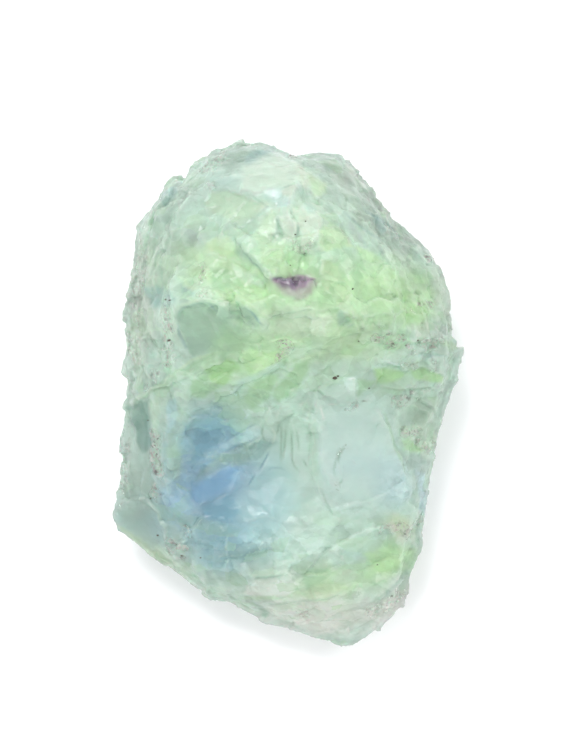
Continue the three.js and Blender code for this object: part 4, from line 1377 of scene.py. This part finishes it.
    def edged(self, tree: Tree, body: Socket, ridge: Socket) -> Socket:
        """Paints a highlight on edges and shade in creases: edges go towards white mint as painted highlight,
        creases go darker as painted shade.

        Args:
            tree: The material's nodes.
            body: The stone's colour.
            ridge: Edges above zero and creases below it.

        Returns:
            The changed colour.
        """
        edge = stretch(tree, ridge, (0.25, 1.0), (0.0, self.painted_edge_highlight))
        crease = stretch(tree, ridge, (-1.0, -0.25), (self.painted_crease_shade, 1.0))
        return blend(tree, edge, scale(tree, body, crease), Tint.WHITE_MINT.paint)

    def sugared(self, tree: Tree, body: Socket, place: Socket, frost: Socket) -> Socket:
        """Strews the seams with tiny crystals from white to pink and dark grey.

        Args:
            tree: The material's nodes.
            body: The stone's colour.
            place: Where each point is.
            frost: How sugary it is there.

        Returns:
            The changed colour.
        """
        colour = self.cells(tree, place, self.grain_mm)["Color"]
        grain = add_node(tree, "ShaderNodeSeparateColor", {}, {0: colour}).outputs
        pale = blend(tree, grain[0], Tint.SUGAR_PINK.paint, Tint.SUGAR_WHITE.paint)
        dark = stretch(tree, grain[1], self.dark_grains, (0.0, self.dark_share))
        sugary = blend(tree, dark, pale, Tint.SUGAR_GREY.paint)
        single = reckon(tree, "MULTIPLY", stretch(tree, grain[2], self.single_grains, (0.0, 1.0)), frost)
        return blend(tree, single, body, sugary)


@dataclass(frozen=True)
class DarkGrain:
    """Dark sulphide and clay caught in the stone: small, dull, brown-black grains."""

    name: str = "inclusion_dark_grain"
    roughness: float = 0.7
    grit_mm: float = 0.1
    shade: float = 0.5

    def material(self) -> bpy.types.Material:
        """Makes the material."""
        made = fresh(self.name)
        tree = made.node_tree
        place = add_node(tree, "ShaderNodeTexCoord", {}, {}).outputs["Object"]
        grit = noise(tree, place, self.grit_mm)["Fac"]
        colour = blend(tree, grit, (*(Tint.DARK_GRAIN.light * self.shade), 1.0), Tint.DARK_GRAIN.paint)
        shader = add_node(
            tree, "ShaderNodeBsdfPrincipled", {}, {"Base Color": colour, "Roughness": self.roughness}
        ).outputs["BSDF"]
        add_node(tree, "ShaderNodeOutputMaterial", {}, {"Surface": shader})
        return made


@dataclass
class FluoriteLump:
    """The specimen: the solid's own lump, broken finer, with its faces, ledges and seams."""

    node: str = "fluorite"
    body: str = "root"
    slot: str = "fluorite"
    pocket: str = "purple fade"
    pocket_mm: float = 0.8
    grid_mm: float = 0.17
    most_triangles: int = 192000
    fine_ragged: float = 0.2
    relax_rounds: int = 10
    relax_share: float = 0.5
    settle_share: float = 0.35
    plain_top: float = 0.5
    fine_from: float = 0.03
    top_from: float = 0.1
    thinning: float = 3e-6
    rim_breaks: float = 1.8
    top_eases: float = 0.8
    worn: Place = (-1.2, -0.2)
    tone_lift: float = 1.2
    least_tone: float = 0.25
    sugar_mm: float = 0.5
    sugar_high_mm: float = 0.2
    sugar_hides: float = 0.8
    patch_mm: float = 0.8
    patch: Place = (-0.35, 0.25)
    line_depth: float = 0.7
    line_strength: float = 0.85
    tone_share: float = 0.24
    crisp_share: float = 0.45
    crisp_below_mm: float = 0.8
    crisp_mm: float = 0.2
    face_lean: Place = (-0.7, -0.2)
    grain_sunk: float = 0.35
    grain_seat_mm: float = 0.5
    grain_uneven: float = 0.45
    grain_swell: float = 0.6
    grain_step: float = 9.0
    paleness: float = 0.75
    lightest: float = 0.98
    lightness: tuple[float, float, float] = (1.015, 0.935, 0.975)
    finish: MilkyFluorite = MilkyFluorite()
    grain_finish: DarkGrain = DarkGrain()
    piece: bpy.types.Object | None = None

    def build(self) -> None:
        """Makes the piece and hangs it on the frame."""
        skin = Skin(self.refined())
        LOG.info("fine grid of %d points", len(skin.points))
        skin.smooth(self.relax_rounds, self.relax_share)
        tone = self.shape(skin)
        skin.keep("coarse", np.clip(self.coarseness(skin.places), 0.0, 1.0))
        pocket = next(face for face in FACES if face.name == self.pocket).weight(skin.places, self.pocket_mm)
        frost = self.frost(skin.points)
        # The ridge marks edges and creases for the painted highlight and painted shade, with none in the
        # purple pocket and less on the sugar.
        skin.keep("ridge", skin.ridges() * (1.0 - pocket) * (1.0 - self.sugar_hides * frost))
        skin.keep("frost", frost)
        skin.keep("tint", self.tints(skin, tone))
        self.piece = bpy.data.objects.new("fluorite_lump", self.thinned(skin))
        bpy.context.scene.collection.objects.link(self.piece)
        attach(self.piece, self.body)
        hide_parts(self.node)

    def through(
        self, mesh: bpy.types.Mesh, kind: str, settings: dict[str, Any], plain: np.ndarray | None = None
    ) -> bpy.types.Mesh:
        """Runs a mesh through one modifier.

        Args:
            mesh: The mesh to change, which is used up.
            kind: Blender's name for the modifier.
            settings: The modifier's options.
            plain: How plain each point is, from 0 to 1, where the modifier asks.

        Returns:
            The changed mesh.
        """
        holder = bpy.data.objects.new("holder", mesh)
        bpy.context.scene.collection.objects.link(holder)
        if plain is not None:
            group = holder.vertex_groups.new(name="plain")
            levels = np.round(plain, 1)
            for level in np.unique(levels):
                group.add(np.flatnonzero(levels == level).tolist(), float(level), "REPLACE")
        step = holder.modifiers.new("step", kind)
        for name, value in settings.items():
            setattr(step, name, value)
        graph = bpy.context.evaluated_depsgraph_get()
        made = bpy.data.meshes.new_from_object(holder.evaluated_get(graph))
        bpy.data.objects.remove(holder)
        bpy.data.meshes.remove(mesh)
        return made

    def refined(self) -> bpy.types.Mesh:
        """Copies the solid on a fine, even grid."""
        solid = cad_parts[self.node].data.copy()
        return self.through(solid, "REMESH", {"mode": "VOXEL", "voxel_size": self.grid_mm * MM})

    def thinned(self, skin: Skin) -> bpy.types.Mesh:
        """Merges small triangles where the stone is plain, most of all below.

        Args:
            skin: The full surface, whose mesh is used up.

        Returns:
            The lighter mesh.
        """
        mesh = skin.mesh
        fine = self.frost(skin.points)
        drawn = self.slight(skin.points)
        for line in LINES:
            fine = np.maximum(fine, line.weight(drawn))
        plain = 1.0 - self.plain_top * skin.upward
        plain[(fine > self.fine_from) & (skin.upward > self.top_from)] = 0.0
        mesh.calc_loop_triangles()
        settings = {
            "ratio": self.most_triangles / len(mesh.loop_triangles),
            "use_collapse_triangulate": True,
            "vertex_group": "plain",
            "vertex_group_factor": self.thinning,
        }
        return self.through(mesh, "DECIMATE", settings, plain)

    def ragged(self, points: np.ndarray) -> np.ndarray:
        """Shifts places a little at random, as seen from above, so that edges break unevenly."""
        return drifted(points, RAGGED_SEEDS, RAGGED_SWELLS)

    def slight(self, points: np.ndarray) -> np.ndarray:
        """Shifts places by a fifth as much, for fine lines."""
        return points[:, :2] + self.fine_ragged * (self.ragged(points) - points[:, :2])

    def coarseness(self, places: np.ndarray) -> np.ndarray:
        """How strongly the stone is chipped at each place seen from above, as a share of the full height."""
        found = np.ones(len(places))
        for calm in CALMS:
            found += (calm.chips - found) * cloud(places, calm.centre, calm.radii, calm.turn)
        return found

    def shape(self, skin: Skin) -> np.ndarray:
        """Gives the surface its faces, chips, ledges, cracks and grain.

        Args:
            skin: The surface, which changes.

        Returns:
            How light each break looks, from -1 to 1.
        """
        places = self.ragged(skin.points)
        for face in FACES:
            face.flatten(skin, places)
        skin.write()
        coarse = self.coarseness(skin.places)
        relief = np.zeros(len(skin.points))
        tone = np.zeros(len(skin.points))
        # The rim and flanks are broken harder than the top, and the underside is worn flatter.
        rim = self.rim_breaks - self.top_eases * skin.upward
        rough = coarse * rim * ramp(*self.worn, skin.normals[:, 2])
        for chip in CHIPS:
            height, shade = chip.broken(skin.points)
            relief += height * chip.height * np.maximum(rough - chip.start, 0.0)
            light = shade * 2.0 - 1.0 + self.tone_lift * height
            tone += light * chip.tone * np.clip(coarse, self.least_tone, 1.0)
        upward = skin.upward
        for ledge in LEDGES:
            relief += ledge.relief(places) * upward
        grains = breaks(skin.points, self.sugar_mm, SUGAR_SEED, Fracture.SHELL)[0]
        relief += self.frost(skin.points) * (self.sugar_high_mm * grains)
        drawn = self.slight(skin.points)
        for line in LINES:
            relief -= self.line_depth * line.depth * line.weight(drawn) * upward
        skin.push(relief)
        skin.points[:, 2] = np.maximum(skin.points[:, 2], 0.0)
        skin.smooth(1, self.settle_share)
        return np.clip(tone, -1.0, 1.0)

    def frost(self, points: np.ndarray) -> np.ndarray:
        """How sugary the stone is at each point.

        Args:
            points: The surface's points in millimetres.

        Returns:
            From 0 for clean stone to 1 for sugar.
        """
        places = self.ragged(points)
        found = np.zeros(len(points))
        for seam in SEAMS:
            found = np.maximum(found, seam.weight(places))
        return found * ramp(*self.patch, wander(points, self.patch_mm, PATCH_SEED))

    def dress(self) -> None:
        """Gives the piece its finish."""
        mesh = self.piece.data
        mesh.shade_smooth()
        mesh.materials.clear()
        mesh.materials.append(self.finish.material())
        mesh.materials.append(self.grain_finish.material())
        self.set_grains(mesh)

    def set_grains(self, mesh: bpy.types.Mesh) -> None:
        """Sets the dark grains into the top of the stone, each an uneven pebble sunk by a third.

        Args:
            mesh: The lump's mesh, which changes.
        """
        skin = Skin(mesh)
        form = bmesh.new()
        form.from_mesh(mesh)
        for number, (radius, x, y) in enumerate(GRAINS):
            rows = nearby(skin.places, ((x, y),), self.grain_seat_mm)
            seat = skin.points[rows[np.argmax(skin.points[rows, 2])]]
            middle = np.array((x, y, seat[2] - self.grain_sunk * radius))
            grain = bmesh.ops.create_icosphere(form, subdivisions=1, radius=radius * MM)["verts"]
            spots = np.array([corner.co for corner in grain]) / MM
            drift = wander(spots + number * self.grain_step, self.grain_swell * radius, PEBBLE_SEED)
            swell = 1.0 + self.grain_uneven * drift
            for corner, spot in zip(grain, spots * swell[:, None] * PEBBLE_FORM + middle):
                corner.co = spot * MM
            for piece in {face for corner in grain for face in corner.link_faces}:
                piece.material_index = 1
        form.to_mesh(mesh)
        form.free()

    def tints(self, skin: Skin, tone: np.ndarray) -> np.ndarray:
        """The stone's own colour at each point.

        Args:
            skin: The surface.
            tone: How light each break looks, from -1 to 1.

        Returns:
            Linear colours.
        """
        points = skin.points
        cloudy = drifted(points, CLOUD_SEEDS, CLOUD_SWELLS)
        colours = np.tile(Tint.MINT.light, (len(points), 1))
        for zone in ZONES:
            colours += (zone.tint.light - colours) * zone.weight(cloudy)[:, None]
        edged = self.ragged(points)
        upward = ramp(*self.face_lean, skin.normals[:, 2])
        for face in FACES:
            crisp = self.crisp_share if face.soft < self.crisp_below_mm else 0.0
            share = (1.0 - crisp) * face.weight(edged, face.soft) + crisp * face.weight(edged, self.crisp_mm)
            colours += (face.tint.light - colours) * (share * face.strength * upward)[:, None]
        # Lines: painted shade in the grooves of the dark ones, painted highlight on the raised bright ones.
        drawn = self.slight(points)
        for line in LINES:
            share = self.line_strength * line.weight(drawn) * line.strength * upward
            colours += (line.tint.light - colours) * share[:, None]
        colours *= 1.0 + self.tone_share * tone[:, None]
        # Light is tinted on its way in and again on its way out, so the skin holds a paler colour.
        paler = np.array(self.lightness) * np.clip(colours, 0.0, 1.0) ** self.paleness
        return np.clip(paler, 0.0, self.lightest)


@dataclass(frozen=True)
class StudioFloor:
    """Matt white card, very lightly toothed: a clean, even, pale ground."""

    name: str = "card_white_matt"
    roughness: float = 0.85
    shine: float = 0.1
    tooth_mm: float = 1.2
    tooth_high_mm: float = 0.05
    bump: float = 0.02

    def material(self) -> bpy.types.Material:
        """Makes the material."""
        made = fresh(self.name)
        tree = made.node_tree
        place = add_node(tree, "ShaderNodeTexCoord", {}, {}).outputs["Object"]
        tooth = noise(tree, place, self.tooth_mm)["Fac"]
        bump = add_node(
            tree, "ShaderNodeBump", {},
            {"Height": tooth, "Strength": self.bump, "Distance": self.tooth_high_mm * MM},
        )
        shader = add_node(
            tree, "ShaderNodeBsdfPrincipled", {},
            {
                "Base Color": Tint.FLOOR.paint,
                "Roughness": self.roughness,
                "Specular IOR Level": self.shine,
                "Normal": bump.outputs["Normal"],
            },
        ).outputs["BSDF"]
        add_node(tree, "ShaderNodeOutputMaterial", {}, {"Surface": shader})
        return made


@dataclass(frozen=True)
class SoftBox:
    """A round soft light that faces the stone: where it hangs and its width, in metres, and its power."""

    place: tuple[float, float, float]
    size: float
    watts: float

    def build(self, name: str) -> None:
        """Hangs the light under a name."""
        lamp = bpy.data.lights.new(name, "AREA")
        lamp.shape = "DISK"
        lamp.size = self.size
        lamp.energy = self.watts
        box = bpy.data.objects.new(lamp.name, lamp)
        box.location = self.place
        box.rotation_euler = (-Vector(self.place)).to_track_quat("-Z", "Y").to_euler()
        bpy.context.scene.collection.objects.link(box)


@dataclass
class Studio:
    """A pale floor, soft light from all round, three soft boxes and a camera that looks straight down."""

    floor_half: float = 1.5
    sky: float = 0.98
    boxes: tuple[SoftBox, ...] = (
        SoftBox((-0.14, 0.34, 0.5), 0.3, 2.2),
        SoftBox((0.3, 0.12, 0.5), 0.25, 0.7),
        SoftBox((-0.3, -0.15, 0.5), 0.25, 0.5),
    )
    lens: float = 240.0
    sensor: float = 36.0
    nearest: float = 0.01
    rim_height: float = 0.009
    middle: Place = (-0.00054, 0.00216)
    picture_height: float = 0.09
    finish: StudioFloor = StudioFloor()

    def build(self) -> None:
        """Makes the floor, the lights and the camera."""
        self.floor()
        self.lights()
        self.camera()

    def floor(self) -> None:
        """Lays the floor."""
        mesh = bpy.data.meshes.new("floor")
        half = self.floor_half
        corners = [(-half, -half, 0.0), (half, -half, 0.0), (half, half, 0.0), (-half, half, 0.0)]
        mesh.from_pydata(corners, [], [(0, 1, 2, 3)])
        mesh.materials.append(self.finish.material())
        floor = bpy.data.objects.new("floor", mesh)
        bpy.context.scene.collection.objects.link(floor)

    def lights(self) -> None:
        """Hangs the soft boxes and lights the room evenly."""
        world = bpy.data.worlds.new("studio")
        world.use_nodes = True
        tree = world.node_tree
        tree.nodes.clear()
        sky = add_node(tree, "ShaderNodeBackground", {}, {"Color": (1, 1, 1, 1), "Strength": self.sky})
        add_node(tree, "ShaderNodeOutputWorld", {}, {"Surface": sky.outputs["Background"]})
        bpy.context.scene.world = world
        for number, box in enumerate(self.boxes):
            box.build(f"soft_box_{number}")

    def camera(self) -> None:
        """Hangs the camera so that the picture's height takes in its share of the floor."""
        data = bpy.data.cameras.new("camera")
        data.lens = self.lens
        data.sensor_width = self.sensor
        data.clip_start = self.nearest
        camera = bpy.data.objects.new("camera", data)
        drop = self.picture_height * self.lens / self.sensor
        camera.location = (*self.middle, self.rim_height + drop)
        bpy.context.scene.collection.objects.link(camera)
        bpy.context.scene.camera = camera
        bpy.context.scene.view_settings.view_transform = "Standard"


def main() -> None:
    """Builds the studio and the specimen, and notes the sizes."""
    logging.basicConfig(level=logging.INFO, format="%(name)s: %(message)s")
    Studio().build()
    LOG.info("studio set")
    lump = FluoriteLump()
    lump.build()
    lump.dress()
    LOG.info("%s has %d triangles", lump.piece.name, len(lump.piece.data.polygons))
    bpy.context.view_layer.update()


if __name__ == "__main__":
    main()
